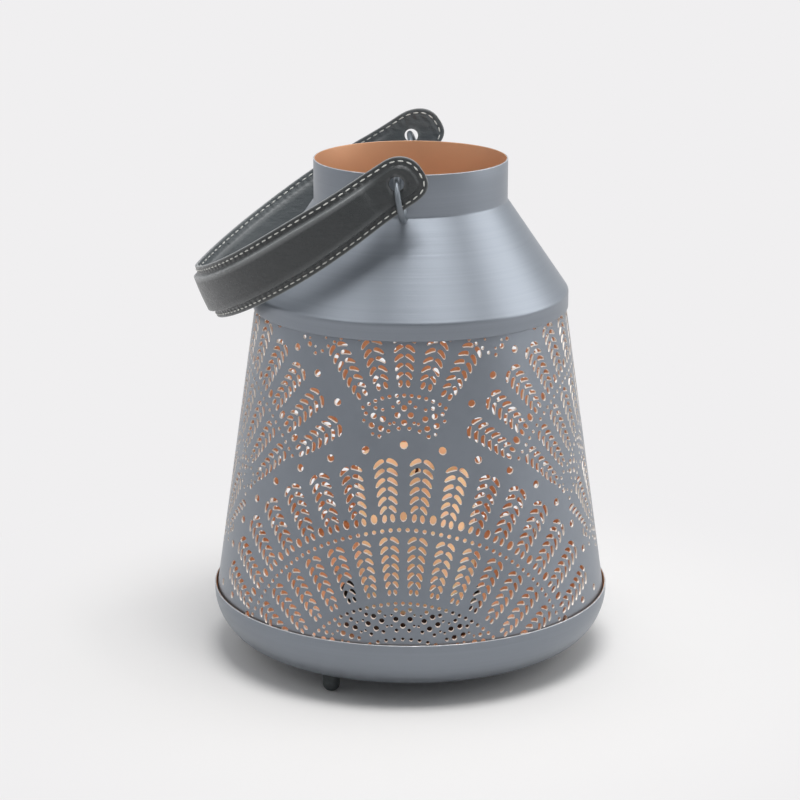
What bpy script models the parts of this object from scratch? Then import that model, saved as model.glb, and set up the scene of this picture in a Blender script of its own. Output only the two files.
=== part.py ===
"""Perforated sheet-metal candle lantern with a swinging leather strap handle.

Metres, +Z up, the viewer stands on the -Y side. The origin is the centre of the
base pan's flat underside, so the three feet reach below it.
"""

import math

import bmesh
import bpy
from mathutils import Matrix, Vector
from mathutils.geometry import delaunay_2d_cdt

# Sheet metal, clearances and facets
SHEET = 0.0010
SEAT_GAP = 0.0003
FACETS = 48

# Base pan, measured from its flat underside
PAN_RADIUS = 0.1250
PAN_FLARE = 0.0192
PAN_FLOOR_RADIUS = PAN_RADIUS - PAN_FLARE
PAN_HEIGHT = 0.0306
PAN_LIP = 0.0040
PAN_ROUNDNESS = 1.76
PAN_CURVE_STEPS = 6

# Perforated body, a rolled cone standing inside the pan's lip
BODY_LIP_GAP = 0.0011
BODY_SINK = 0.0050
BODY_TOP_RADIUS = 0.0968
BODY_RISE = 0.1798
BODY_OVERLAP = 0.0080

# Spun shoulder with its skirt and neck
SKIRT_HEIGHT = 0.0104
SHOULDER_RISE = 0.0560
NECK_RADIUS = 0.0598
NECK_HEIGHT = 0.0257
SKIRT_BEND = 0.0040
NECK_FILLET = 0.0030
BEND_STEPS = 3

# Feet and their screws
FOOT_COUNT = 3
FOOT_INSET = 0.0260
FOOT_CIRCLE = PAN_RADIUS - FOOT_INSET
FOOT_AZIMUTH = -29.5
FOOT_RADIUS = 0.0052
FOOT_HEIGHT = 0.0125
FOOT_ROUND = 0.0030
FOOT_FACETS = 20
SCREW_RADIUS = 0.0015
SCREW_CLEARANCE = 0.0003
SCREW_DEPTH = 0.0075
SCREW_HEAD_RADIUS = 0.0030
SCREW_HEAD_HEIGHT = 0.0018
SCREW_FACETS = 12

# Candle, its cup and its wick
CUP_HEIGHT = 0.0193
CANDLE_RADIUS = 0.0372
CANDLE_HEIGHT = 0.1000
CANDLE_OFFSET = 0.0040
CUP_ROOM = 0.0078
CUP_RADIUS = CANDLE_RADIUS + CUP_ROOM
CANDLE_POOL_DEPTH = 0.0035
CANDLE_RIM = 0.0080
CANDLE_BEVEL = 0.0015
WICK_RADIUS = 0.0011
WICK_LENGTH = 0.0110
WICK_SOCKET = 0.0060
WICK_FACETS = 10
ROUND_FACETS = 36

# Wire rings fixed to the neck
WIRE_RADIUS = 0.00175
RING_RADIUS = 0.0135
RING_DROP = 0.0112
RING_SPREAD = 0.0085
RING_STEPS = 28
WIRE_FACETS = 8

# Strap handle: two leathers stitched over a padded core
HANDLE_YAW = 3.2
HANDLE_SIDESTEP = -0.0039
STRAP_HALF_SPAN = 0.0834
STRAP_REACH = 0.1490
STRAP_SHOULDER = 0.1148
STRAP_BULGE = 0.0300
STRAP_NOSE = 0.0122
STRAP_DROOP = 34.4
STRAP_NOSE_LEAN = 22.6
STRAP_NOSE_POWER = 5
STRAP_WIDTH = 0.0350
STRAP_END_WIDTH = 0.0304
STRAP_TAPER = 0.0800
STRAP_TONGUE = 0.0172
STRAP_CORNER = 0.0150
STRAP_STRAIGHT = 0.0080
STRAP_EASE = 0.0320
STRAP_HOLE_CLEARANCE = 0.0011
STRAP_STATIONS = 48
STRAP_SPACING = 1.5
TONGUE_STATIONS = 6
LEATHER = 0.0010
LAYER_GAP = 0.0003
CORE_THICKNESS = 0.0034
CORE_WIDTH = 0.0250
STITCH_FLANGE = 0.0048
PAD_TAPER = 0.88
PAD_LIMIT = 0.82
CORE_SETBACK = 0.0120
CORE_FADE = 0.0100

# Perforation pattern: scallop fans of leaf sprigs in three staggered rows.
# The fan centres stand on the developed cone, by azimuth and by slant height
# above the pan's rim, and the rings are radii from those centres.
PATTERN_AZIMUTH = -2.6
FANS_PER_ROW = 2
SLOT_TIP_WIDTH = 0.0046
SLOT_BASE_WIDTH = 0.0024
LARGE_DOT = 0.0046
ROW_MARGIN = 0.0040
SKIRT_MARGIN = 0.0030
RIM_MARGIN = 0.0030
SEAM_MARGIN = 0.0035


class Ring:
    """One ring of sprigs in a fan: its radii, angular step and sprig count."""

    def __init__(self, inner, outer, step, count):
        self.inner = inner
        self.outer = outer
        self.step = step
        self.count = count

    def angles(self):
        """Angles of the sprigs from the fan's axis, in degrees."""
        first = -self.step * (self.count - 1) / 2
        return [first + self.step * index for index in range(self.count)]


class Fan:
    """A row's fan: its centre, its sprig rings and its circles of large dots."""

    def __init__(self, slant, turn, rings, dot_rings, border):
        self.slant = slant
        self.turn = turn
        self.rings = rings
        self.dot_rings = dot_rings
        self.border = border
        self.reach = max(ring.outer for ring in rings + dot_rings)


BOTTOM_FAN = Fan(
    slant=-0.0575, turn=0.0,
    rings=[Ring(0.0869, 0.1225, 8.2, 14), Ring(0.1319, 0.1700, 7.45, 16)],
    dot_rings=[Ring(0.0725, 0.0725, 13.0, 5), Ring(0.1735, 0.1735, 7.45, 15)],
    border=[(60.0, 0.1295), (61.5, 0.1510), (62.7, 0.1730)])
MIDDLE_FAN = Fan(
    slant=0.0100, turn=90.0,
    rings=[Ring(0.0480, 0.0780, 15.5, 7), Ring(0.1040, 0.1375, 7.2, 12),
           Ring(0.1471, 0.1840, 6.7, 14)],
    dot_rings=[Ring(0.0312, 0.0312, 30.0, 3), Ring(0.0931, 0.0931, 14.4, 5),
               Ring(0.1885, 0.1885, 6.7, 13)],
    border=[])
TOP_FAN = Fan(
    slant=0.1068, turn=0.0,
    rings=[Ring(0.0512, 0.0825, 15.5, 5)],
    dot_rings=[Ring(0.0312, 0.0312, 30.0, 3)],
    border=[])
FAN_ROWS = [BOTTOM_FAN, MIDDLE_FAN, TOP_FAN]

# Derived heights and radii
RIM_Z = PAN_HEIGHT
SKIRT_BOTTOM_Z = RIM_Z + BODY_RISE
SKIRT_TOP_Z = SKIRT_BOTTOM_Z + SKIRT_HEIGHT
NECK_BASE_Z = SKIRT_TOP_Z + SHOULDER_RISE
NECK_TOP_Z = NECK_BASE_Z + NECK_HEIGHT
BODY_BOTTOM_Z = RIM_Z - BODY_SINK
BODY_TOP_Z = SKIRT_BOTTOM_Z + BODY_OVERLAP
BODY_RIM_RADIUS = PAN_RADIUS - SHEET - BODY_LIP_GAP
CONE_SLOPE = (BODY_RIM_RADIUS - BODY_TOP_RADIUS) / BODY_RISE
CONE_ANGLE = math.atan(CONE_SLOPE)
SLANT_TOP = BODY_RISE / math.cos(CONE_ANGLE)
SKIRT_RADIUS = BODY_TOP_RADIUS + SEAT_GAP + SHEET
CUP_Z = SHEET + SEAT_GAP
CANDLE_Z = CUP_Z + SHEET + SEAT_GAP
RING_Z = NECK_TOP_Z - RING_DROP
RING_CENTRE_RADIUS = NECK_RADIUS + SEAT_GAP + WIRE_RADIUS + RING_RADIUS
SEAM_AZIMUTH = PATTERN_AZIMUTH + 180.0

GREY_PAINT = (0.105, 0.125, 0.150, 1.0)
BLACK = (0.012, 0.012, 0.013, 1.0)
LEATHER_COLOUR = (0.045, 0.050, 0.052, 1.0)
LINING_COLOUR = (0.075, 0.080, 0.085, 1.0)
FELT = (0.035, 0.035, 0.035, 1.0)
WAX = (0.85, 0.50, 0.28, 1.0)
RUBBER = (0.03, 0.035, 0.035, 1.0)
STEEL = (0.5, 0.5, 0.5, 1.0)


def make_material(name, colour, roughness, metallic):
    """Return a Principled material."""
    material = bpy.data.materials.new(name)
    material.use_nodes = True
    shader = material.node_tree.nodes["Principled BSDF"]
    shader.inputs["Base Color"].default_value = colour
    shader.inputs["Roughness"].default_value = roughness
    shader.inputs["Metallic"].default_value = metallic
    material.diffuse_color = colour
    return material


def add_mesh_object(name, points, faces, material):
    """Make a mesh object from points and faces, shaded smooth up to 30 degrees."""
    mesh = bpy.data.meshes.new(name)
    mesh.from_pydata([tuple(point) for point in points], [], faces)
    mesh.validate()
    tidy = bmesh.new()
    tidy.from_mesh(mesh)
    bmesh.ops.recalc_face_normals(tidy, faces=tidy.faces)
    tidy.to_mesh(mesh)
    tidy.free()
    mesh.shade_smooth()
    mesh.set_sharp_from_angle(angle=math.radians(30))
    mesh.materials.append(material)
    made = bpy.data.objects.new(name, mesh)
    bpy.context.scene.collection.objects.link(made)
    return made


def facet_angles(count, phase_degrees=SEAM_AZIMUTH):
    """Azimuths of the facet lines: 0 is the front, positive goes towards +X."""
    start = math.radians(phase_degrees)
    return [start + 2 * math.pi * index / count for index in range(count)]


def on_azimuth(radius, azimuth, z):
    """Point at a radius, an azimuth from the front and a height."""
    return Vector((radius * math.sin(azimuth), -radius * math.cos(azimuth), z))


def turned(name, profile, material, facets=FACETS, phase=SEAM_AZIMUTH):
    """Turn a closed outline of (radius, z) points; radius 0 is a point on the axis."""
    angles = facet_angles(facets, phase)
    points = []
    rows = []
    for radius, z in profile:
        if radius < 1e-9:
            rows.append([len(points)] * facets)
            points.append(Vector((0.0, 0.0, z)))
        else:
            rows.append(list(range(len(points), len(points) + facets)))
            points.extend(on_azimuth(radius, angle, z) for angle in angles)
    faces = []
    for row, next_row in zip(rows, rows[1:] + rows[:1]):
        for here in range(facets):
            there = (here + 1) % facets
            corners = [row[here], row[there], next_row[there], next_row[here]]
            unique = list(dict.fromkeys(corners))
            if len(unique) >= 3:
                faces.append(unique)
    return add_mesh_object(name, points, faces, material)


def arc(centre, radius, start_degrees, end_degrees, steps):
    """Points on an arc in the (radius, z) plane."""
    points = []
    for index in range(steps + 1):
        angle = math.radians(start_degrees + (end_degrees - start_degrees) * index / steps)
        points.append((centre[0] + radius * math.cos(angle),
                       centre[1] + radius * math.sin(angle)))
    return points


def pan_wall(offset):
    """The pan's bowl from lip to floor, moved inwards by an offset."""
    floor_radius = PAN_FLOOR_RADIUS - offset * 0.4
    wall_radius = PAN_RADIUS - offset
    depth = PAN_HEIGHT - PAN_LIP - offset
    power = 2 / PAN_ROUNDNESS
    points = []
    for index in range(PAN_CURVE_STEPS + 1):
        angle = math.pi / 2 * index / PAN_CURVE_STEPS
        radius = floor_radius + (wall_radius - floor_radius) * math.cos(angle) ** power
        z = RIM_Z - PAN_LIP - depth * math.sin(angle) ** power
        points.append((radius, z))
    points[-1] = (floor_radius, offset)
    return points


def add_cutter(target, name, points, faces):
    """Cut a closed shape out of a target with an exact Boolean."""
    mesh = bpy.data.meshes.new(name)
    mesh.from_pydata([tuple(point) for point in points], [], faces)
    tidy = bmesh.new()
    tidy.from_mesh(mesh)
    bmesh.ops.recalc_face_normals(tidy, faces=tidy.faces)
    tidy.to_mesh(mesh)
    tidy.free()
    cutter = bpy.data.objects.new(name, mesh)
    bpy.context.scene.collection.objects.link(cutter)
    cutter.hide_render = True
    cutter.display_type = "WIRE"
    cut = target.modifiers.new(name, "BOOLEAN")
    cut.operation = "DIFFERENCE"
    cut.solver = "EXACT"
    cut.object = cutter
    return cutter


def cylinder_shape(start, end, radius, facets):
    """Points and faces of a closed cylinder between two points."""
    along = (end - start).normalized()
    side = along.orthogonal().normalized()
    up = along.cross(side)
    points = []
    for centre in (start, end):
        for index in range(facets):
            angle = 2 * math.pi * index / facets
            points.append(centre + radius * (side * math.cos(angle) + up * math.sin(angle)))
    faces = [list(range(facets)), list(range(facets, 2 * facets))]
    for here in range(facets):
        there = (here + 1) % facets
        faces.append([here, there, there + facets, here + facets])
    return points, faces


def foot_centres():
    """Centre lines of the feet, spread evenly round the pan."""
    angles = facet_angles(FOOT_COUNT, FOOT_AZIMUTH)
    return [on_azimuth(FOOT_CIRCLE, angle, 0.0) for angle in angles]


def make_pan(paint):
    """Spun base pan with three clearance holes for the foot screws."""
    outer = pan_wall(0.0)
    inner = pan_wall(SHEET)
    profile = [(0.0, SHEET), (0.0, 0.0)]
    profile += list(reversed(outer))
    profile += [(PAN_RADIUS, RIM_Z), (PAN_RADIUS - SHEET, RIM_Z)]
    profile += inner
    pan = turned("base_pan", profile, paint)
    for index, centre in enumerate(foot_centres(), 1):
        start = centre - Vector((0.0, 0.0, SHEET))
        end = centre + Vector((0.0, 0.0, 2 * SHEET))
        points, faces = cylinder_shape(start, end, SCREW_RADIUS + SCREW_CLEARANCE, SCREW_FACETS)
        add_cutter(pan, f"screw_hole_{index}", points, faces)


def make_feet(rubber, screw_paint):
    """Turned feet with a blind bore, each held by a screw through the pan."""
    bore = SCREW_RADIUS + SCREW_CLEARANCE
    bottom = -SEAT_GAP - FOOT_HEIGHT
    bore_bottom = -SEAT_GAP - SCREW_DEPTH
    foot_profile = [(0.0, bore_bottom), (0.0, bottom)]
    foot_profile += arc((FOOT_RADIUS - FOOT_ROUND, bottom + FOOT_ROUND), FOOT_ROUND, -90, 0, BEND_STEPS)
    foot_profile += [(FOOT_RADIUS, -SEAT_GAP), (bore, -SEAT_GAP), (bore, bore_bottom)]
    head_bottom = SHEET + SEAT_GAP
    screw_tip = bore_bottom + SEAT_GAP
    screw_profile = [
        (0.0, head_bottom + SCREW_HEAD_HEIGHT), (0.0, screw_tip), (SCREW_RADIUS, screw_tip),
        (SCREW_RADIUS, head_bottom), (SCREW_HEAD_RADIUS, head_bottom),
        (SCREW_HEAD_RADIUS, head_bottom + SCREW_HEAD_HEIGHT / 2),
        (SCREW_HEAD_RADIUS * 0.6, head_bottom + SCREW_HEAD_HEIGHT)]
    for index, centre in enumerate(foot_centres(), 1):
        foot = turned(f"foot_{index}", foot_profile, rubber, FOOT_FACETS)
        foot.location = centre
        screw = turned(f"foot_screw_{index}", screw_profile, screw_paint, SCREW_FACETS)
        screw.location = centre


def make_shoulder(paint):
    """Spun shoulder: skirt over the body, straight slope and upright neck."""
    slope = math.atan2(SHOULDER_RISE, SKIRT_RADIUS - NECK_RADIUS)
    turn = math.degrees(slope)
    outer = []
    outer.append((SKIRT_RADIUS, SKIRT_BOTTOM_Z))
    reach = SKIRT_BEND * math.tan(math.radians(90 - turn) / 2)
    bend_centre = (SKIRT_RADIUS - SKIRT_BEND, SKIRT_TOP_Z - reach)
    outer += arc(bend_centre, SKIRT_BEND, 0, 90 - turn, BEND_STEPS)
    rise = NECK_FILLET * math.tan(math.radians(90 - turn) / 2)
    fillet_centre = (NECK_RADIUS + NECK_FILLET, NECK_BASE_Z + rise)
    outer += arc(fillet_centre, NECK_FILLET, 270 - turn, 180, BEND_STEPS)
    outer.append((NECK_RADIUS, NECK_TOP_Z))
    inner = [(NECK_RADIUS - SHEET, NECK_TOP_Z)]
    inner_fillet = arc(fillet_centre, NECK_FILLET + SHEET, 180, 270 - turn, BEND_STEPS)
    inner_bend = arc(bend_centre, SKIRT_BEND - SHEET, 90 - turn, 0, BEND_STEPS)
    inner += inner_fillet + inner_bend
    inner.append((SKIRT_RADIUS - SHEET, SKIRT_BOTTOM_Z))
    turned("shoulder_neck", outer + inner, paint)


def make_candle_set(cup_paint, wax, wick_material):
    """Open cup on the pan's floor, a pillar candle in it and the candle's wick."""
    cup_top = CUP_Z + CUP_HEIGHT
    cup_profile = [
        (0.0, CUP_Z + SHEET), (0.0, CUP_Z), (CUP_RADIUS, CUP_Z), (CUP_RADIUS, cup_top),
        (CUP_RADIUS - SHEET, cup_top), (CUP_RADIUS - SHEET, CUP_Z + SHEET)]
    turned("candle_cup", cup_profile, cup_paint, ROUND_FACETS)

    top = CANDLE_Z + CANDLE_HEIGHT
    pool = top - CANDLE_POOL_DEPTH
    socket = WICK_RADIUS + SEAT_GAP
    candle_profile = [
        (0.0, pool - WICK_SOCKET), (0.0, CANDLE_Z), (CANDLE_RADIUS, CANDLE_Z),
        (CANDLE_RADIUS, top - CANDLE_BEVEL), (CANDLE_RADIUS - CANDLE_BEVEL, top),
        (CANDLE_RADIUS - CANDLE_RIM / 2, top - CANDLE_POOL_DEPTH / 4),
        (CANDLE_RADIUS - CANDLE_RIM, pool), (socket, pool), (socket, pool - WICK_SOCKET)]
    candle = turned("candle", candle_profile, wax, ROUND_FACETS)
    candle.location.x = CANDLE_OFFSET

    foot = pool - WICK_SOCKET + SEAT_GAP
    tip = pool + WICK_LENGTH
    wick_profile = [(0.0, tip), (0.0, foot), (WICK_RADIUS, foot), (WICK_RADIUS, tip - WICK_RADIUS)]
    wick = turned("wick", wick_profile, wick_material, WICK_FACETS)
    wick.location.x = CANDLE_OFFSET


def handle_frame():
    """Origin and axes of the handle: midpoint of the hole line, its two directions."""
    yaw = math.radians(HANDLE_YAW)
    rise = math.sqrt(RING_RADIUS ** 2 - RING_SPREAD ** 2)
    middle = Vector((HANDLE_SIDESTEP, 0.0, RING_Z + rise))
    across = Vector((math.sin(yaw), math.cos(yaw), 0.0))
    left = Vector((-math.cos(yaw), math.sin(yaw), 0.0))
    return middle, across, left


def ring_frame(side):
    """Centre and in-plane axes of a ring that passes through the strap's hole."""
    middle, across, _ = handle_frame()
    hole = middle + across * (side * STRAP_HALF_SPAN)
    hole_radius = math.hypot(hole.x, hole.y)
    cosine = (hole_radius ** 2 + RING_CENTRE_RADIUS ** 2 - RING_SPREAD ** 2) / (
        2 * hole_radius * RING_CENTRE_RADIUS)
    azimuth = math.atan2(hole.x, -hole.y) - side * math.acos(min(cosine, 1.0))
    outwards = on_azimuth(1.0, azimuth, 0.0)
    centre = outwards * RING_CENTRE_RADIUS + Vector((0.0, 0.0, RING_Z))
    upwards = hole - centre
    upwards = (upwards - outwards * upwards.dot(outwards)).normalized()
    return centre, outwards, upwards


def make_rings(paint):
    """Two wire rings on the neck, each through the strap's hole on its side."""
    for name, side in (("handle_ring_front", -1), ("handle_ring_back", 1)):
        centre, outwards, upwards = ring_frame(side)
        sideways = outwards.cross(upwards)
        points = []
        for index in range(RING_STEPS):
            angle = 2 * math.pi * index / RING_STEPS
            spoke = outwards * math.cos(angle) + upwards * math.sin(angle)
            spine = centre + spoke * RING_RADIUS
            for turn in range(WIRE_FACETS):
                around = 2 * math.pi * turn / WIRE_FACETS
                points.append(spine + WIRE_RADIUS * (spoke * math.cos(around) + sideways * math.sin(around)))
        faces = []
        for index in range(RING_STEPS):
            ahead = (index + 1) % RING_STEPS
            for turn in range(WIRE_FACETS):
                beside = (turn + 1) % WIRE_FACETS
                faces.append([index * WIRE_FACETS + turn, index * WIRE_FACETS + beside,
                              ahead * WIRE_FACETS + beside, ahead * WIRE_FACETS + turn])
        add_mesh_object(name, points, faces, paint)


def smooth_step(value):
    """Ease from 0 to 1."""
    value = min(max(value, 0.0), 1.0)
    return value * value * (3 - 2 * value)


def strap_arm(t):
    """One arm's centre line: reach from the hole line and distance from the middle."""
    b0, b1, b2, b3 = (1 - t) ** 3, 3 * (1 - t) ** 2 * t, 3 * (1 - t) * t * t, t ** 3
    reach = b1 * STRAP_SHOULDER + (b2 + b3) * STRAP_REACH
    aside = b0 * STRAP_HALF_SPAN + b1 * (STRAP_HALF_SPAN + STRAP_BULGE) + b2 * STRAP_NOSE
    flare = smooth_step((reach - STRAP_STRAIGHT) / STRAP_EASE)
    return reach, STRAP_HALF_SPAN + (aside - STRAP_HALF_SPAN) * flare


def strap_route():
    """Stations from one tongue to the other: (reach, aside, half width, to the end)."""
    half_end = STRAP_END_WIDTH / 2
    tongue = []
    for index in range(TONGUE_STATIONS):
        angle = math.pi / 2 * index / (TONGUE_STATIONS - 1)
        reach = -STRAP_TONGUE + STRAP_CORNER * (1 - math.cos(angle))
        half = half_end - STRAP_CORNER * (1 - math.sin(angle))
        tongue.append((reach, STRAP_HALF_SPAN, half))
    arm = []
    half_count = STRAP_STATIONS // 2
    for index in range(half_count + 1):
        reach, aside = strap_arm((index / half_count) ** STRAP_SPACING)
        half = half_end + (STRAP_WIDTH / 2 - half_end) * smooth_step(reach / STRAP_TAPER)
        arm.append((reach, aside, half))
    one_side = tongue + arm
    there = [(reach, -aside, half) for reach, aside, half in one_side]
    back = [(reach, aside, half) for reach, aside, half in reversed(one_side[:-1])]
    return there + back


def strap_frames():
    """Station centres with their width and outward directions."""
    middle, across, left = handle_frame()
    droop = math.radians(STRAP_DROOP)
    nose_lean = math.radians(STRAP_NOSE_LEAN)
    route = strap_route()
    down_left = left * math.cos(droop) - Vector((0.0, 0.0, math.sin(droop)))
    centres = [middle + down_left * reach + across * aside for reach, aside, _ in route]
    frames = []
    for index, (reach, _, half) in enumerate(route):
        share = min(max(reach / STRAP_REACH, 0.0), 1.0) ** STRAP_NOSE_POWER
        tilt = droop + (nose_lean - droop) * share
        width_way = left * math.sin(tilt) + Vector((0.0, 0.0, math.cos(tilt)))
        before = centres[max(index - 1, 0)]
        after = centres[min(index + 1, len(centres) - 1)]
        along = (after - before).normalized()
        outwards = along.cross(width_way).normalized()
        if outwards.dot(centres[index] - middle) < 0:
            outwards = -outwards
        frames.append((centres[index], width_way, outwards, half, reach))
    return frames


def sweep_strap(name, section, frames, material):
    """Sweep a closed (across, outwards) outline, given by a function, along frames."""
    points = []
    size = 0
    for centre, width_way, outwards, half, reach in frames:
        outline = section(half, reach)
        size = len(outline)
        points.extend(centre + width_way * a + outwards * b for a, b in outline)
    faces = []
    for station in range(len(frames) - 1):
        for here in range(size):
            there = (here + 1) % size
            faces.append([station * size + here, station * size + there,
                          (station + 1) * size + there, (station + 1) * size + here])
    last = (len(frames) - 1) * size
    faces.append(list(range(size)))
    faces.append([last + here for here in range(size)])
    return add_mesh_object(name, points, faces, material)


def make_strap(leather, lining_material, core_material):
    """Lining, padded core and raised outer leather, with a hole at each end."""
    frames = strap_frames()
    start = LAYER_GAP / 2

    def core_height(reach):
        """The core's thickness, fading out before each hole."""
        return CORE_THICKNESS * smooth_step((reach - CORE_SETBACK) / CORE_FADE)

    def pad_half(half):
        """Half the core pocket's width at a strap half width."""
        return min(CORE_WIDTH / 2, half - STITCH_FLANGE)

    def outer_section(half, reach):
        lift = core_height(reach) + LAYER_GAP * smooth_step((reach - CORE_SETBACK / 2) / CORE_FADE)
        pad = pad_half(half) + LAYER_GAP
        low = start
        high = start + LEATHER
        shoulder = min(pad + LEATHER, half * PAD_LIMIT)
        return [(-half, low), (-pad, low), (-pad * PAD_TAPER, low + lift), (pad * PAD_TAPER, low + lift),
                (pad, low), (half, low), (half, high), (shoulder, high),
                (pad * PAD_TAPER, high + lift), (-pad * PAD_TAPER, high + lift), (-shoulder, high),
                (-half, high)]

    def lining_section(half, reach):
        return [(-half, -start - LEATHER), (half, -start - LEATHER), (half, -start), (-half, -start)]

    def core_section(half, reach):
        pad = pad_half(half) - LAYER_GAP
        high = start + max(core_height(reach), LEATHER / 3)
        return [(-pad, start), (pad, start), (pad * PAD_TAPER, high), (-pad * PAD_TAPER, high)]

    outer = sweep_strap("strap_outer", outer_section, frames, leather)
    lining = sweep_strap("strap_lining", lining_section, frames, lining_material)
    core_frames = [frame for frame in frames if frame[4] > CORE_SETBACK + CORE_FADE / 3]
    sweep_strap("strap_core", core_section, core_frames, core_material)

    middle, across, _ = handle_frame()
    slant = math.acos(RING_SPREAD / RING_RADIUS)
    hole_radius = WIRE_RADIUS / math.sin(slant) + LEATHER / math.tan(slant) + STRAP_HOLE_CLEARANCE
    for side in (-1, 1):
        hole = middle + across * (side * STRAP_HALF_SPAN)
        reach = across * (4 * LEATHER)
        points, faces = cylinder_shape(hole - reach, hole + reach, hole_radius, 16)
        label = "front" if side < 0 else "back"
        add_cutter(outer, f"outer_hole_{label}", points, faces)
        add_cutter(lining, f"lining_hole_{label}", points, faces)


def signed_area(corners):
    """Area of a flat polygon, positive when it runs counterclockwise."""
    pairs = zip(corners, corners[1:] + corners[:1])
    return sum(here.x * there.y - there.x * here.y for here, there in pairs) / 2


class ConeSheet:
    """The body's cone, laid out flat from its apex."""

    def __init__(self):
        self.rim_reach = BODY_RIM_RADIUS / math.sin(CONE_ANGLE)

    def to_flat(self, azimuth, slant):
        """Flat coordinates of a point at an azimuth and a slant height above the rim."""
        reach = self.rim_reach - slant
        turn = azimuth * math.sin(CONE_ANGLE)
        return Vector((reach * math.sin(turn), -reach * math.cos(turn)))

    def from_flat(self, point):
        """Azimuth and slant height of a flat point."""
        turn = math.atan2(point.x, -point.y)
        return turn / math.sin(CONE_ANGLE), self.rim_reach - point.length


def fan_centre(sheet, fan, copy):
    """Azimuth of a fan's axis, its centre and its outward axis on the flat sheet."""
    azimuth = math.radians(fan.turn + 360.0 / FANS_PER_ROW * copy)
    centre = sheet.to_flat(azimuth, fan.slant)
    axis = -centre.normalized()
    return centre, axis


def turned_axis(axis, degrees):
    """The axis turned towards +azimuth by an angle."""
    angle = math.radians(degrees)
    return Vector((axis.x * math.cos(angle) + axis.y * math.sin(angle),
                   -axis.x * math.sin(angle) + axis.y * math.cos(angle)))


def slot_outline(centre, way, inner, outer):
    """A tapered slot that runs outwards along a sprig."""
    side = Vector((-way.y, way.x))
    base = centre + way * inner
    tip = centre + way * outer
    return [base - side * (SLOT_BASE_WIDTH / 2), base + side * (SLOT_BASE_WIDTH / 2),
            tip + side * (SLOT_TIP_WIDTH / 2), tip - side * (SLOT_TIP_WIDTH / 2)]


def dot_outline(centre, size):
    """A round hole as a small square standing on its corner."""
    reach = size / 2 * math.sqrt(math.pi / 2)
    return [centre + Vector(way) * reach for way in ((1, 0), (0, 1), (-1, 0), (0, -1))]


def row_covers(sheet, row, point):
    """Whether a fan of a lower row covers a flat point."""
    for lower in FAN_ROWS[:row]:
        limit = lower.reach + LARGE_DOT / 2 + ROW_MARGIN
        for copy in range(-FANS_PER_ROW, FANS_PER_ROW + 1):
            centre, _ = fan_centre(sheet, lower, copy)
            if (point - centre).length < limit:
                return True
    return False


def fan_holes(sheet, fan, copy):
    """Outlines of one fan's slots and large dots on the flat sheet."""
    centre, axis = fan_centre(sheet, fan, copy)
    top = SLANT_TOP - SKIRT_MARGIN
    outlines = []
    for ring in fan.rings:
        for angle in ring.angles():
            way = turned_axis(axis, angle)
            outer = ring.outer
            while outer > ring.inner and sheet.from_flat(centre + way * outer)[1] > top:
                outer -= SLOT_TIP_WIDTH
            if outer - ring.inner > 2 * SLOT_TIP_WIDTH:
                outlines.append(slot_outline(centre, way, ring.inner, outer))
    for ring in fan.dot_rings:
        for angle in ring.angles():
            outlines.append(dot_outline(centre + turned_axis(axis, angle) * ring.outer, LARGE_DOT))
    for angle, radius in fan.border:
        for side in (-1, 1):
            outlines.append(dot_outline(centre + turned_axis(axis, side * angle) * radius, LARGE_DOT))
    return outlines


def body_holes(sheet):
    """All holes as outlines of (azimuth, slant), clear of edges, seam and lower rows."""
    seam = math.pi - SEAM_MARGIN / BODY_TOP_RADIUS
    holes = []
    for row, fan in enumerate(FAN_ROWS):
        for copy in range(FANS_PER_ROW):
            for outline in fan_holes(sheet, fan, copy):
                if any(row_covers(sheet, row, point) for point in outline):
                    continue
                places = [sheet.from_flat(point) for point in outline]
                if min(slant for _, slant in places) < RIM_MARGIN:
                    continue
                if max(slant for _, slant in places) > SLANT_TOP - SKIRT_MARGIN / 2:
                    continue
                middle = sum(azimuth for azimuth, _ in places) / len(places)
                shift = -2 * math.pi * round(middle / (2 * math.pi))
                places = [(azimuth + shift, slant) for azimuth, slant in places]
                if min(azimuth for azimuth, _ in places) < -seam:
                    continue
                if max(azimuth for azimuth, _ in places) > seam:
                    continue
                holes.append(places)
    return holes


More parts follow.
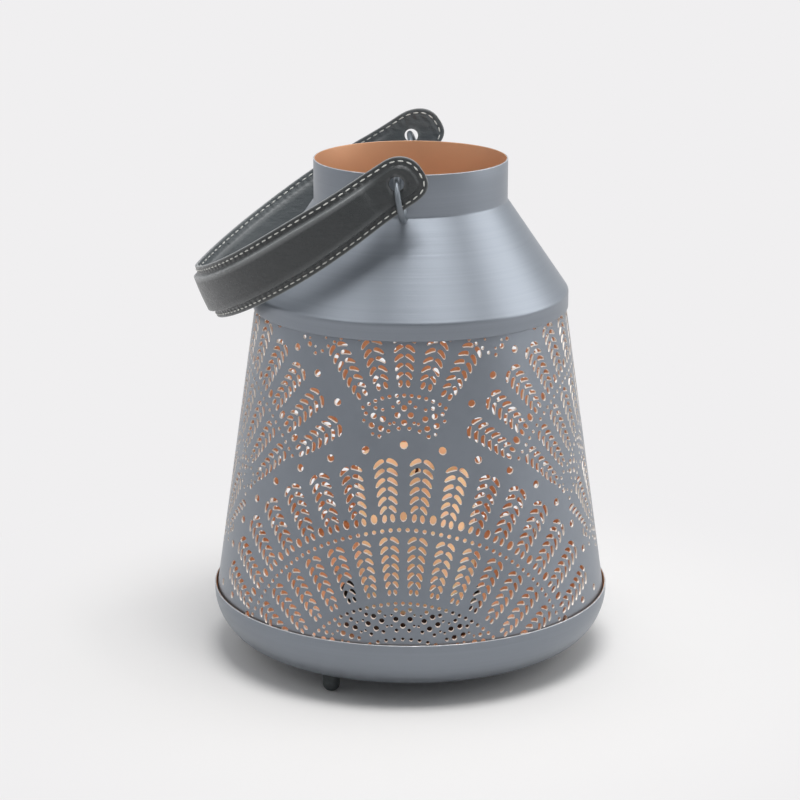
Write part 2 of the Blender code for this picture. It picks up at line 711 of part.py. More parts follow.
def make_body(paint):
    """Rolled, perforated cone: a triangulated flat sheet with holes, bent and thickened."""
    sheet = ConeSheet()
    low = -BODY_SINK / math.cos(CONE_ANGLE)
    high = (BODY_TOP_Z - RIM_Z) / math.cos(CONE_ANGLE)
    stretch = BODY_TOP_RADIUS
    step = 2 * math.pi / FACETS

    points = []
    edges = []
    for index in range(FACETS + 1):
        azimuth = -math.pi + step * index
        points.append(Vector((azimuth * stretch, low)))
        points.append(Vector((azimuth * stretch, high)))
        edges.append((2 * index, 2 * index + 1))
    border = [2 * index for index in range(FACETS + 1)]
    border += [2 * index + 1 for index in reversed(range(FACETS + 1))]
    outlines = [border]
    for hole in body_holes(sheet):
        first = len(points)
        corners = [Vector((azimuth * stretch, slant)) for azimuth, slant in hole]
        if signed_area(corners) < 0:
            corners.reverse()
        points.extend(corners)
        outlines.append(list(range(first, first + len(hole))))
    result = delaunay_2d_cdt(points, edges, outlines, 0, 1e-7)
    flat_points, _, triangles = result[0], result[1], result[2]
    inside = result[5]
    kept = [list(triangle) for triangle, owners in zip(triangles, inside) if list(owners) == [0]]

    at_start = {}
    seam = math.pi * stretch
    for index, point in enumerate(flat_points):
        if abs(point.x + seam) < 1e-6:
            at_start[round(point.y, 6)] = index
    swap = {}
    for index, point in enumerate(flat_points):
        if abs(point.x - seam) < 1e-6:
            swap[index] = at_start[round(point.y, 6)]
    kept = [[swap.get(corner, corner) for corner in triangle] for triangle in kept]
    used = sorted({corner for triangle in kept for corner in triangle})
    place = {corner: order for order, corner in enumerate(used)}
    kept = [[place[corner] for corner in triangle] for triangle in kept]

    def bent(point, inwards):
        """A flat point on the facets of the cone, moved inwards by a wall."""
        azimuth = point.x / stretch
        slant = point.y
        radius = (sheet.rim_reach - slant) * math.sin(CONE_ANGLE) - inwards / math.cos(CONE_ANGLE)
        part = (azimuth + math.pi) % step
        radius *= math.cos(step / 2) / math.cos(part - step / 2)
        z = RIM_Z + slant * math.cos(CONE_ANGLE)
        return on_azimuth(radius, azimuth + math.radians(PATTERN_AZIMUTH), z)

    outside = [bent(flat_points[corner], 0.0) for corner in used]
    inside_points = [bent(flat_points[corner], SHEET) for corner in used]
    count = len(used)
    faces = [list(triangle) for triangle in kept]
    faces += [[corner + count for corner in reversed(triangle)] for triangle in kept]
    edge_use = {}
    for triangle in kept:
        for here, there in zip(triangle, triangle[1:] + triangle[:1]):
            edge_use[(here, there)] = True
    for here, there in edge_use:
        if (there, here) not in edge_use:
            faces.append([there, here, here + count, there + count])
    add_mesh_object("perforated_body", outside + inside_points, faces, paint)


def main():
    """Clear the scene and build the lantern."""
    for old in list(bpy.data.objects):
        bpy.data.objects.remove(old, do_unlink=True)

    grey = make_material("grey_paint", GREY_PAINT, 0.38, 0.0)
    black = make_material("black_paint", BLACK, 0.5, 0.0)
    rubber = make_material("foot_rubber", RUBBER, 0.6, 0.0)
    leather = make_material("strap_leather", LEATHER_COLOUR, 0.42, 0.0)
    lining = make_material("strap_lining", LINING_COLOUR, 0.5, 0.0)
    felt = make_material("core_felt", FELT, 0.9, 0.0)
    wax = make_material("candle_wax", WAX, 0.4, 0.0)
    steel = make_material("screw_steel", STEEL, 0.3, 1.0)

    make_pan(grey)
    make_feet(rubber, steel)
    make_body(grey)
    make_shoulder(grey)
    make_candle_set(black, wax, black)
    make_rings(grey)
    make_strap(leather, lining, felt)


main()
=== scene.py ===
"""Perforated metal candle lantern with a padded leather strap handle.

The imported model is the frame. Each sub-assembly is a class that builds its meshes
in metres, in the frame's own coordinates, and dresses them with its finishes.
"""

import logging
import math
from dataclasses import dataclass, field
from enum import Enum
from math import cos, pi, radians, sin
from typing import Callable, Optional, Sequence, Union

import bmesh
import bpy
from bpy.types import ID, Material, Mesh, Modifier, Node, NodeSocket, NodeTree, Object, World
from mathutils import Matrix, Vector
from mathutils.geometry import delaunay_2d_cdt
from mathutils.kdtree import KDTree


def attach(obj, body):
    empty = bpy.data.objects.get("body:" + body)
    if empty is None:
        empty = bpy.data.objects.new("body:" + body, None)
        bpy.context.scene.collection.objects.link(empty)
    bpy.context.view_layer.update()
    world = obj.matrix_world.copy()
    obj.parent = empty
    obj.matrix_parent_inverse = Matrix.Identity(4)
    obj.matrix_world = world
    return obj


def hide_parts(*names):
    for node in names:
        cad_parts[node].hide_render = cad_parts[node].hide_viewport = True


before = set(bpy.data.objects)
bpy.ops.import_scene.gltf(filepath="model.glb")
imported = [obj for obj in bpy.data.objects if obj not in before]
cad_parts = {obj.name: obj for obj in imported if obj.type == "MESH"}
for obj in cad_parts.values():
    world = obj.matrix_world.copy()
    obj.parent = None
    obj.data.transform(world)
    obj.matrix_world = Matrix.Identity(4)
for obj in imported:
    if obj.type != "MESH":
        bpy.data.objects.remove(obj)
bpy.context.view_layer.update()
LOG = logging.getLogger("lantern")

SHEET = 0.0010
SEAT_GAP = 0.0003
RIM_Z = 0.0306
PATTERN_AZIMUTH = -2.3
SKIRT_BOTTOM_Z = 0.2104
NECK_TOP_Z = 0.3025
FLOOR_Z = -0.0128

Colour = tuple[float, float, float]
Triple = tuple[float, float, float]
Pair = tuple[float, float]
Shape = list[Pair]
Outline = list[Vector]
Value = Union["Signal", float, int, Sequence[float]]


def srgb(red: int, green: int, blue: int) -> Colour:
    """Turn an 8-bit display colour into a linear one."""
    shares = [part / 255 for part in (red, green, blue)]
    return tuple(share / 12.92 if share <= 0.04045 else ((share + 0.055) / 1.055) ** 2.4 for share in shares)


def smooth_step(value: float) -> float:
    """Ease from 0 to 1 as the value goes from 0 to 1."""
    value = min(max(value, 0.0), 1.0)
    return value * value * (3 - 2 * value)


def rise(value: float, start: float, length: float) -> float:
    """Ease from 0 at a start to 1 after a length."""
    return smooth_step((value - start) / length)


def ridge(value: float, place: float, width: float) -> float:
    """A smooth ridge: 1 at its place, fading over its width."""
    return math.exp(-((value - place) / width) ** 2)


def circle_angles(count: int) -> list[float]:
    """Even angles once round a circle."""
    return [2 * pi * index / count for index in range(count)]


def on_azimuth(radius: float, degrees: float, z: float) -> Vector:
    """A point at a radius and an azimuth from the front, towards +x."""
    angle = radians(degrees)
    return Vector((radius * sin(angle), -radius * cos(angle), z))


def add_node(tree: NodeTree, kind: str, settings: Optional[dict],
             values: Optional[dict]) -> Node:
    """Add a node to a tree.

    Args:
        tree: The shader tree or Geometry Nodes tree.
        kind: The node's type.
        settings: Properties, set before any socket.
        values: A value, a signal or a socket for each input, by name or index.

    Returns:
        The new node.
    """
    made = tree.nodes.new(kind)
    for key, setting in (settings or {}).items():
        setattr(made, key, setting)
    for key, value in (values or {}).items():
        socket = made.inputs[key]
        source = value.socket if isinstance(value, Signal) else value
        if isinstance(source, NodeSocket):
            tree.links.new(source, socket)
        elif socket.type == "RGBA":
            socket.default_value = (*source, 1.0)
        else:
            socket.default_value = source
    return made


class Signal:
    """A shader socket that Python expressions work on."""

    def __init__(self, sheet: "ShaderSheet", socket: NodeSocket) -> None:
        """Keep the socket and the sheet that owns it."""
        self.sheet = sheet
        self.socket = socket

    def _math(self, operation: str, *parts: Value) -> "Signal":
        """Add a Math node."""
        return self.sheet.node("ShaderNodeMath", {"operation": operation}, dict(enumerate(parts)))

    def __add__(self, other: Value) -> "Signal":
        """Sum."""
        return self._math("ADD", self, other)

    def __mul__(self, other: Value) -> "Signal":
        """Product."""
        return self._math("MULTIPLY", self, other)

    def __sub__(self, other: Value) -> "Signal":
        """Difference."""
        return self._math("SUBTRACT", self, other)

    def __rsub__(self, other: Value) -> "Signal":
        """Difference with this signal taken away."""
        return self._math("SUBTRACT", other, self)

    def __pow__(self, other: Value) -> "Signal":
        """Power."""
        return self._math("POWER", self, other)

    __radd__ = __add__
    __rmul__ = __mul__

    def maximum(self, other: Value) -> "Signal":
        """The larger of two values."""
        return self._math("MAXIMUM", self, other)

    def sine(self) -> "Signal":
        """Sine of an angle in radians."""
        return self._math("SINE", self)

    def step(self, low: float, high: float, first: float = 0.0, last: float = 1.0) -> "Signal":
        """Ease from a first value at low to a last one at high."""
        return self.sheet.node("ShaderNodeMapRange", {"interpolation_type": "SMOOTHSTEP"},
                               dict(enumerate((self, low, high, first, last))))


class ShaderSheet:
    """A shader tree under construction, of a material or of the world."""

    def __init__(self, owner: Union[Material, World]) -> None:
        """Empty the tree of the material or world that owns it."""
        owner.use_nodes = True
        self.owner = owner
        self.tree = owner.node_tree
        self.tree.nodes.clear()

    def node(self, kind: str, settings: Optional[dict] = None, values: Optional[dict] = None,
             output: Union[int, str] = 0) -> Signal:
        """Add a node and return one of its outputs; see add_node for the other arguments."""
        return Signal(self, add_node(self.tree, kind, settings, values).outputs[output])

    def split(self, signal: Signal, *outputs: Union[int, str]) -> list[Signal]:
        """Chosen outputs of the node that a signal comes from."""
        return [Signal(self, signal.socket.node.outputs[output]) for output in outputs]

    def place(self, scale: Triple = (1, 1, 1)) -> Signal:
        """Object coordinates, scaled along each axis."""
        where = self.node("ShaderNodeTexCoord", output="Object")
        return self.node("ShaderNodeMapping", None, {"Vector": where, "Scale": scale})

    def axes(self) -> list[Signal]:
        """Object coordinates as three separate signals."""
        where = self.node("ShaderNodeTexCoord", output="Object")
        return self.split(self.node("ShaderNodeSeparateXYZ", None, {0: where}), 0, 1, 2)

    def join(self, x: Value, y: Value, z: Value) -> Signal:
        """A vector from three values."""
        return self.node("ShaderNodeCombineXYZ", None, {0: x, 1: y, 2: z})

    def noise(self, scale: float, detail: float, where: Optional[Signal] = None) -> Signal:
        """Noise from 0 to 1, on object coordinates unless told where."""
        values = {"Vector": where or self.place(), "Scale": scale, "Detail": detail}
        return self.node("ShaderNodeTexNoise", None, values)

    def attribute(self, name: str) -> Signal:
        """A value stored on the mesh."""
        return self.node("ShaderNodeAttribute", {"attribute_name": name}, output="Fac")

    def blend(self, factor: Value, low: Value, high: Value) -> Signal:
        """Mix two colours: a factor of 0 gives low, 1 gives high."""
        return self.node("ShaderNodeMix", {"data_type": "RGBA"}, {0: factor, 6: low, 7: high}, 2)

    def bump(self, height: Signal, distance: float, under: Optional[Signal] = None) -> Signal:
        """A normal from a height.

        Args:
            height: The height signal.
            distance: The height of 1, in metres.
            under: A bump that this one adds to.

        Returns:
            The normal.
        """
        values = {"Height": height, "Distance": distance, "Strength": 1.0}
        if under:
            values["Normal"] = under
        return self.node("ShaderNodeBump", None, values)

    def surface(self, values: dict) -> Material:
        """Close a material with a Principled shader that has the given values."""
        self.end(self.node("ShaderNodeBsdfPrincipled", None, values))
        return self.owner

    def end(self, shader: Signal, kind: str = "ShaderNodeOutputMaterial") -> None:
        """Link a shader to the tree's output."""
        add_node(self.tree, kind, None, {"Surface": shader})


@dataclass(frozen=True)
class Finish:
    """What every finish has: a name and a main colour."""

    name: str
    colour: Colour

    def sheet(self) -> ShaderSheet:
        """The sheet of a new material."""
        return ShaderSheet(bpy.data.materials.new(self.name))

    def shade(self, gain: float) -> Colour:
        """The main colour, darker or lighter."""
        return tuple(min(part * gain, 1.0) for part in self.colour)


class Grain(Enum):
    """How a painted sheet was formed, which sets the way its fine marks run."""

    SPUN = "spun"
    ROLLED = "rolled"


@dataclass(frozen=True)
class MetallicPaint(Finish):
    """Satin metallic paint on sheet metal."""

    name: str = "slate paint"
    colour: Colour = srgb(133, 139, 147)
    metallic: float = 0.66
    roughness: float = 0.38
    grain: Grain = Grain.SPUN
    streak: float = 0.4

    def make(self) -> Material:
        """Build the material."""
        sheet = self.sheet()
        x, y, z = sheet.axes()
        if self.grain is Grain.SPUN:
            along = (x * x + y * y) ** 0.5 * 0.75 - z
            lines = sheet.join(x * 3, y * 3, along * 260)
            fine = sheet.join(x * 6, y * 6, along * 1100)
        else:
            lines = sheet.join(x * 30, y * 30, z * 12)
            fine = sheet.join(x * 140, y * 140, z * 140)
        broad = sheet.noise(1.0, 4, lines)
        thin = sheet.noise(1.0, 3, fine)
        clouds = sheet.noise(9.0, 3)
        speck = sheet.noise(2600.0, 1)
        tone = (broad - 0.5) * self.streak + (thin - 0.5) * self.streak * 0.6 + (clouds - 0.5) * 0.5
        colour = sheet.blend(tone + 0.5, self.shade(0.80), self.shade(1.20))
        gloss = self.roughness + tone * 0.10 + (speck - 0.5) * 0.04
        normal = sheet.bump(speck, 0.00001, sheet.bump(thin, 0.00002, sheet.bump(broad, 0.00006)))
        return sheet.surface({"Base Color": colour, "Metallic": self.metallic, "Roughness": gloss,
                              "Normal": normal, "Coat Weight": 0.08, "Coat Roughness": 0.25})


@dataclass(frozen=True)
class CopperPaint(Finish):
    """Matt copper-coloured paint on the inside of the sheet."""

    name: str = "copper lining paint"
    colour: Colour = srgb(213, 164, 127)

    def make(self) -> Material:
        """Build the material."""
        sheet = self.sheet()
        clouds = sheet.noise(14.0, 4)
        speck = sheet.noise(1800.0, 2)
        colour = sheet.blend(clouds * 0.8 + speck * 0.2, self.shade(0.86), self.shade(1.10))
        return sheet.surface({"Base Color": colour, "Metallic": 0.35,
                              "Roughness": 0.46 + (clouds - 0.5) * 0.12,
                              "Normal": sheet.bump(speck, 0.00002)})


@dataclass(frozen=True)
class Mottled(Finish):
    """A finish whose tone, gloss and relief follow one noise, such as a cut edge, yarn or felt."""

    scale: Union[float, Triple]
    detail: float
    dark: float
    light: float
    roughness: float
    gloss_swing: float = 0.0
    metallic: float = 0.0
    relief: float = 0.0
    sheen: float = 0.0

    def make(self) -> Material:
        """Build the material."""
        sheet = self.sheet()
        even = isinstance(self.scale, float)
        place = () if even else (sheet.place(self.scale),)
        marks = sheet.noise(self.scale if even else 1.0, self.detail, *place)
        values = {"Base Color": sheet.blend(marks, self.shade(self.dark), self.shade(self.light)),
                  "Metallic": self.metallic, "Roughness": self.roughness, "Sheen Weight": self.sheen}
        if self.gloss_swing:
            values["Roughness"] = self.roughness + marks * self.gloss_swing
        if self.relief:
            values["Normal"] = sheet.bump(marks, self.relief)
        return sheet.surface(values)


@dataclass(frozen=True)
class WornHighlightedRim(Finish):
    """Paint lightened along a rim as a painted highlight, with patches thinned to bare metal."""

    name: str = "worn rim"
    # The rim colour is lighter than the paint: a painted highlight on the rim's edge.
    colour: Colour = srgb(178, 182, 187)
    bare: Colour = srgb(216, 217, 219)

    def make(self) -> Material:
        """Build the material."""
        sheet = self.sheet()
        wear_and_highlight = sheet.noise(160.0, 4).step(0.48, 0.7)
        fine = sheet.noise(1500.0, 2)
        return sheet.surface({"Base Color": sheet.blend(wear_and_highlight, self.colour, self.bare), "Metallic": 0.4,
                              "Roughness": 0.34 + fine * 0.12, "Normal": sheet.bump(fine, 0.00002)})


@dataclass(frozen=True)
class PlainPaint(Finish):
    """Solid paint with a fine speckle, for the wire and the cup."""

    roughness: float
    metallic: float = 0.0

    def make(self) -> Material:
        """Build the material."""
        sheet = self.sheet()
        clouds = sheet.noise(60.0, 3)
        speck = sheet.noise(1500.0, 2)
        return sheet.surface({"Base Color": sheet.blend(clouds, self.shade(0.8), self.shade(1.25)),
                              "Metallic": self.metallic,
                              "Roughness": self.roughness + (clouds - 0.5) * 0.15,
                              "Normal": sheet.bump(speck, 0.00003)})


@dataclass(frozen=True)
class Rubber(Finish):
    """Moulded black rubber with a dusty bloom."""

    name: str = "foot rubber"
    colour: Colour = srgb(62, 66, 67)

    def make(self) -> Material:
        """Build the material."""
        sheet = self.sheet()
        bloom = sheet.noise(220.0, 4)
        pits = sheet.noise(2200.0, 2)
        colour = sheet.blend(bloom.step(0.45, 0.8), self.colour, self.shade(1.7))
        return sheet.surface({"Base Color": colour, "Roughness": 0.62 + bloom * 0.2,
                              "Normal": sheet.bump(pits, 0.00005)})


@dataclass(frozen=True)
class Wax(Finish):
    """Cast candle wax with a slight bloom."""

    name: str = "candle wax"
    colour: Colour = srgb(247, 218, 178)
    deepening: Triple = (0.96, 0.86, 0.74)

    def make(self) -> Material:
        """Build the material."""
        sheet = self.sheet()
        clouds = sheet.noise(35.0, 4)
        grain = sheet.noise(900.0, 3, sheet.place((1.0, 1.0, 0.4)))
        deep = tuple(part * gain for part, gain in zip(self.colour, self.deepening))
        return sheet.surface({"Base Color": sheet.blend(clouds.step(0.3, 0.75), self.colour, deep),
                              "Roughness": 0.42 + clouds * 0.16, "Subsurface Weight": 0.25,
                              "Subsurface Scale": 0.006, "Normal": sheet.bump(grain, 0.00005)})


@dataclass(frozen=True)
class Leather(Finish):
    """Dyed leather with pebbled grain, creases, puckers at the stitches, wear on its edges and round the
    hole, and a painted highlight along the pad's ridges.
    """

    worn_and_highlight: Colour
    roughness: float
    pebble: float = 0.00006
    crease: float = 0.00012
    pucker: float = 0.00030
    pucker_reach: float = 0.0060
    stitch_pitch: float = 0.0051

    def make(self) -> Material:
        """Build the material."""
        sheet = self.sheet()
        cells = sheet.node("ShaderNodeTexVoronoi", {"feature": "DISTANCE_TO_EDGE"},
                           {"Vector": sheet.place(), "Scale": 1400.0})
        grain = cells.step(0.0, 0.30)
        folds = sheet.noise(120.0, 5, sheet.place((1.0, 1.0, 2.2)))
        clouds = sheet.noise(28.0, 4)
        wear_and_highlight = sheet.attribute("wear_and_highlight")
        base = sheet.blend(clouds * 0.7 + grain * 0.3, self.shade(0.72), self.shade(1.25))
        gloss = self.roughness + (folds - 0.5) * 0.18 - grain * 0.05 - wear_and_highlight * 0.05
        edge = sheet.attribute("edge")
        waves = (sheet.attribute("along") * (2 * pi / self.stitch_pitch) + folds * 4.0).sine()
        near = edge.step(0.0012, 0.0026) * (1.0 - edge.step(0.0030, self.pucker_reach))
        low = sheet.bump(waves * near, self.pucker, sheet.bump(folds, self.crease))
        # The worn colour shows wear on edges and round the hole, and a painted highlight on the pad's ridges.
        return sheet.surface({"Base Color": sheet.blend(wear_and_highlight * (clouds * 0.7 + 0.4), base, self.worn_and_highlight),
                              "Roughness": gloss, "Normal": sheet.bump(grain, self.pebble, low),
                              "Sheen Weight": 0.08, "Sheen Roughness": 0.4})


def ring_faces(rings: int, size: int, closed: bool = False) -> list[list[int]]:
    """Faces between rings of points that follow one another.

    Args:
        rings: How many rings there are.
        size: How many points each ring has.
        closed: Whether the last ring joins the first; otherwise a face closes each end.

    Returns:
        The faces.
    """
    faces = []
    for ring in range(rings if closed else rings - 1):
        here = ring * size
        ahead = (ring + 1) % rings * size
        for corner in range(size):
            beside = (corner + 1) % size
            faces.append([here + corner, here + beside, ahead + beside, ahead + corner])
    if not closed:
        faces.append(list(range(size)))
        faces.append([(rings - 1) * size + corner for corner in range(size)])
    return faces


def place_data(name: str, data: ID) -> Object:
    """Put an object with a mesh, lamp or camera in the scene."""
    holder = bpy.data.objects.new(name, data)
    bpy.context.scene.collection.objects.link(holder)
    return holder


def place_mesh(name: str, mesh: Mesh, sharp: float) -> Object:
    """Put a mesh in the scene at the origin, shaded smooth between its sharp edges.

    Args:
        name: The piece's name.
        mesh: The mesh, in place.
        sharp: Edges past this angle in degrees stay sharp.

    Returns:
        The new object.
    """
    mesh.name = name
    mesh.polygons.foreach_set("use_smooth", [True] * len(mesh.polygons))
    mesh.set_sharp_from_angle(angle=radians(sharp))
    return place_data(name, mesh)


def plain_mesh(holder: Object, modifier: Modifier) -> Mesh:
    """The mesh that a modifier gives, with the modifier removed afterwards."""
    result = bpy.data.meshes.new_from_object(holder.evaluated_get(bpy.context.evaluated_depsgraph_get()))
    holder.modifiers.remove(modifier)
    return result


@dataclass
class MeshSketch:
    """Points, faces and the faces' finishes, gathered for one piece."""

    points: Outline = field(default_factory=list)
    faces: list[list[int]] = field(default_factory=list)
    finishes: list[int] = field(default_factory=list)

    def add(self, points: Outline, faces: list[list[int]]) -> None:
        """Add points, and faces between them that have the first finish."""
        first = len(self.points)
        self.points.extend(points)
        self.faces.extend([corner + first for corner in face] for face in faces)

    def build(self, name: str, finishes: Sequence[Material], sharp: float = 35.0,
              weld: float = 1e-7, marks: Optional[dict[str, list[float]]] = None) -> Object:
        """Make the object, with its faces turned outwards.

        Args:
            name: The piece's name.
            finishes: Its materials, in the order of the faces' indices.
            sharp: Edges past this angle in degrees stay sharp.
            weld: Points closer than this are merged; 0 merges none.
            marks: Values for each point, by attribute name.

        Returns:
            The new object.
        """
        mesh = bpy.data.meshes.new(name)
        mesh.from_pydata([tuple(point) for point in self.points], [], self.faces)
        for label, values in (marks or {}).items():
            mesh.attributes.new(label, "FLOAT", "POINT").data.foreach_set("value", values)
        for finish in finishes:
            mesh.materials.append(finish)
        mesh.polygons.foreach_set("material_index", self.finishes or [0] * len(self.faces))
        shape = bmesh.new()
        shape.from_mesh(mesh)
        if weld:
            bmesh.ops.remove_doubles(shape, verts=shape.verts, dist=weld)
        bmesh.ops.recalc_face_normals(shape, faces=shape.faces)
        shape.to_mesh(mesh)
        shape.free()
        return place_mesh(name, mesh, sharp)


@dataclass
class Profile:
    """A closed outline in the (radius, z) plane that is turned about an upright axis."""

    points: Shape = field(default_factory=list)
    finishes: list[int] = field(default_factory=list)

    def line(self, points: Shape, finish: int = 0) -> "Profile":
        """Append points; the stretch after each one has the given finish.

        Args:
            points: The new points.
            finish: Their finish.

        Returns:
            This profile.
        """
        self.points.extend(points)
        self.finishes.extend([finish] * len(points))
        return self

    def arc(self, centre: Pair, radius: float, start: float, end: float, steps: int,
            finish: int = 0) -> "Profile":
        """Append an arc.

        Args:
            centre: The arc's centre.
            radius: Its radius.
            start: Its first angle in degrees.
            end: Its last angle in degrees.
            steps: How many stretches it has.
            finish: The finish of its stretches.

        Returns:
            This profile.
        """
        turns = [radians(start + (end - start) * index / steps) for index in range(steps + 1)]
        spots = [(centre[0] + radius * cos(turn), centre[1] + radius * sin(turn)) for turn in turns]
        return self.line(spots, finish)

    def turn(self, segments: int, centre: Vector = Vector(),
             wobble: Optional[Callable[[float, float, float], float]] = None) -> MeshSketch:
        """Turn the outline into a closed skin.

        Args:
            segments: How many steps round.
            centre: The axis's place.
            wobble: Extra height for a (radius, angle, z), for uneven surfaces.

        Returns:
            The skin.
        """
        sketch = MeshSketch()
        for angle in circle_angles(segments):
            for radius, z in self.points:
                z += wobble(radius, angle, z) if wobble else 0.0
                spot = Vector((radius * sin(angle), -radius * cos(angle), z))
                sketch.points.append(centre + spot)
        count = len(self.points)
        on_axis = [radius < 1e-9 for radius, _ in self.points]
        for here, finish in enumerate(self.finishes):
            there = (here + 1) % count
            if on_axis[here] and on_axis[there]:
                continue
            for index in range(segments):
                ahead = (index + 1) % segments
                face = [index * count + here, index * count + there]
                face += [] if on_axis[there] else [ahead * count + there]
                face += [] if on_axis[here] else [ahead * count + here]
                sketch.faces.append(face)
                sketch.finishes.append(finish)
        return sketch


class NodeSheet:
    """A Geometry Nodes tree with named inputs."""

    def __init__(self, name: str, inputs: dict[str, Sequence[str]]) -> None:
        """Start a tree.

        Args:
            name: The tree's name.
            inputs: The labels of the inputs after the geometry, by socket type.
        """
        self.tree = bpy.data.node_groups.new(name, "GeometryNodeTree")
        face = self.tree.interface
        face.new_socket("Geometry", in_out="INPUT", socket_type="NodeSocketGeometry")
        for kind, labels in inputs.items():
            for label in labels:
                face.new_socket(label, in_out="INPUT", socket_type=f"NodeSocket{kind}")
        face.new_socket("Geometry", in_out="OUTPUT", socket_type="NodeSocketGeometry")
        self.given = self.tree.nodes.new("NodeGroupInput").outputs

    def node(self, kind: str, settings: Optional[dict] = None,
             values: Optional[dict] = None) -> NodeSocket:
        """Add a node and return its first output; see add_node for the arguments."""
        return add_node(self.tree, kind, settings, values).outputs[0]

    def math(self, operation: str, first: object, second: object) -> NodeSocket:
        """A Math node on two values."""
        return self.node("ShaderNodeMath", {"operation": operation}, {0: first, 1: second})

    def vector(self, parts: dict) -> NodeSocket:
        """A vector from the parts that aren't zero, by axis number."""
        return self.node("ShaderNodeCombineXYZ", None, parts)

    def turned(self, angle: NodeSocket) -> NodeSocket:
        """A rotation about z."""
        return self.node("FunctionNodeEulerToRotation", None, {0: self.vector({2: angle})})

    def close(self, geometry: NodeSocket) -> "NodeSheet":
        """End the tree with Realize Instances and Set Material.

        Args:
            geometry: The instances to realize.

        Returns:
            This sheet.
        """
        solid = self.node("GeometryNodeRealizeInstances", None, {0: geometry})
        dressed = self.node("GeometryNodeSetMaterial", None, {0: solid, "Material": self.given["Material"]})
        add_node(self.tree, "NodeGroupOutput", None, {0: dressed})
        return self

    def run(self, source: Mesh, values: dict) -> Mesh:
        """Evaluate the tree on a mesh.

        Args:
            source: The mesh that goes in.
            values: A value for each named input; None leaves an input as it is.

        Returns:
            The result as a plain mesh.
        """
        holder = place_data("holder", source)
        modifier = holder.modifiers.new("nodes", "NODES")
        modifier.node_group = self.tree
        for item in self.tree.interface.items_tree:
            if item.in_out == "INPUT" and values.get(item.name) is not None:
                modifier[item.identifier] = values[item.name]
        result = plain_mesh(holder, modifier)
        bpy.data.objects.remove(holder)
        return result


def motif_tree() -> NodeSheet:
    """The tree that repeats a motif up a stem and the stem round a centre."""
    sheet = NodeSheet("motif rows", {
        "Int": ("Count", "Rows"), "Bool": ("Paired",), "Material": ("Material",),
        "Float": ("Step", "Turn", "Radius", "Pitch", "Lean First", "Lean Last", "Scale First",
                  "Scale Last", "Gap")})
    given = sheet.given
    index = sheet.node("GeometryNodeInputIndex")
    stem = sheet.node("GeometryNodeMeshLine", {"mode": "OFFSET"}, {
        "Count": given["Rows"], "Start Location": sheet.vector({1: given["Radius"]}),
        "Offset": sheet.vector({1: given["Pitch"]})})
    last_row = sheet.math("MAXIMUM", sheet.math("SUBTRACT", given["Rows"], 1.0), 1.0)
    share = sheet.math("DIVIDE", index, last_row)

    def between(label: str, part: NodeSocket) -> NodeSocket:
        """A value that goes from a First input to a Last one."""
        span = sheet.math("SUBTRACT", given[f"{label} Last"], given[f"{label} First"])
        return sheet.math("ADD", given[f"{label} First"], sheet.math("MULTIPLY", span, part))

    lean = between("Lean", share)
    length = between("Scale", sheet.math("POWER", share, 0.45))
    scale = sheet.vector({0: length, 1: sheet.math("POWER", length, 0.4), 2: 1.0})

    def side(motif: NodeSocket, sign: float) -> NodeSocket:
        """The motif on one side of the stem.

        Args:
            motif: The motif's geometry.
            sign: 1 for the right side, -1 for the left one.

        Returns:
            The copies up the stem.
        """
        copies = sheet.node("GeometryNodeInstanceOnPoints", None, {
            "Points": stem, "Instance": motif, "Scale": scale,
            "Rotation": sheet.turned(sheet.math("MULTIPLY", lean, -sign))})
        shift = sheet.vector({0: sheet.math("MULTIPLY", given["Gap"], sign)})
        return sheet.node("GeometryNodeTranslateInstances", None, {
            0: copies, "Translation": shift, "Local Space": False})

    right = side(given["Geometry"], 1.0)
    mirrored = {0: given["Geometry"], "Scale": (-1.0, 1.0, 1.0)}
    left = side(sheet.node("GeometryNodeTransform", None, mirrored), -1.0)
    both = add_node(sheet.tree, "GeometryNodeJoinGeometry", None, {0: left})
    sheet.tree.links.new(right, both.inputs[0])
    chosen = sheet.node("GeometryNodeSwitch", {"input_type": "GEOMETRY"}, {
        "Switch": given["Paired"], "False": right, "True": both.outputs[0]})
    spots = sheet.node("GeometryNodeMeshLine", {"mode": "OFFSET"}, {
        "Count": given["Count"], "Offset": (0.0, 0.0, 0.0)})
    half = sheet.math("DIVIDE", sheet.math("SUBTRACT", given["Count"], 1.0), 2.0)
    angle = sheet.math("MULTIPLY", sheet.math("SUBTRACT", index, half), given["Step"])
    angle = sheet.math("MULTIPLY", sheet.math("ADD", angle, given["Turn"]), -1.0)
    return sheet.close(sheet.node("GeometryNodeInstanceOnPoints", None, {
        "Points": spots, "Instance": chosen, "Rotation": sheet.turned(angle)}))


def stitch_tree() -> NodeSheet:
    """The tree that lays stitches along a seam line."""
    sheet = NodeSheet("stitches", {"Float": ("Pitch", "Length", "Width", "Height"),
                                   "Material": ("Material",)})
    given = sheet.given
    curve = sheet.node("GeometryNodeMeshToCurve", None, {0: given["Geometry"]})
    even = sheet.node("GeometryNodeResampleCurve", {"mode": "LENGTH"}, {0: curve, "Length": given["Pitch"]})
    ball = sheet.node("GeometryNodeMeshUVSphere", None, {"Segments": 8, "Rings": 6, "Radius": 0.5})
    size = sheet.vector({0: given["Length"], 1: given["Width"], 2: given["Height"]})
    stitch = sheet.node("GeometryNodeTransform", None, {0: ball, "Scale": size})
    upward = sheet.node("GeometryNodeInputNamedAttribute", {"data_type": "FLOAT_VECTOR"}, {0: "seam_normal"})
    along = sheet.node("FunctionNodeAlignRotationToVector", {"axis": "X"}, {
        "Vector": sheet.node("GeometryNodeInputTangent")})
    facing = sheet.node("FunctionNodeAlignRotationToVector", {"axis": "Z", "pivot_axis": "X"}, {
        "Rotation": along, "Vector": upward})
    return sheet.close(sheet.node("GeometryNodeInstanceOnPoints", None, {
        "Points": even, "Instance": stitch, "Rotation": facing}))


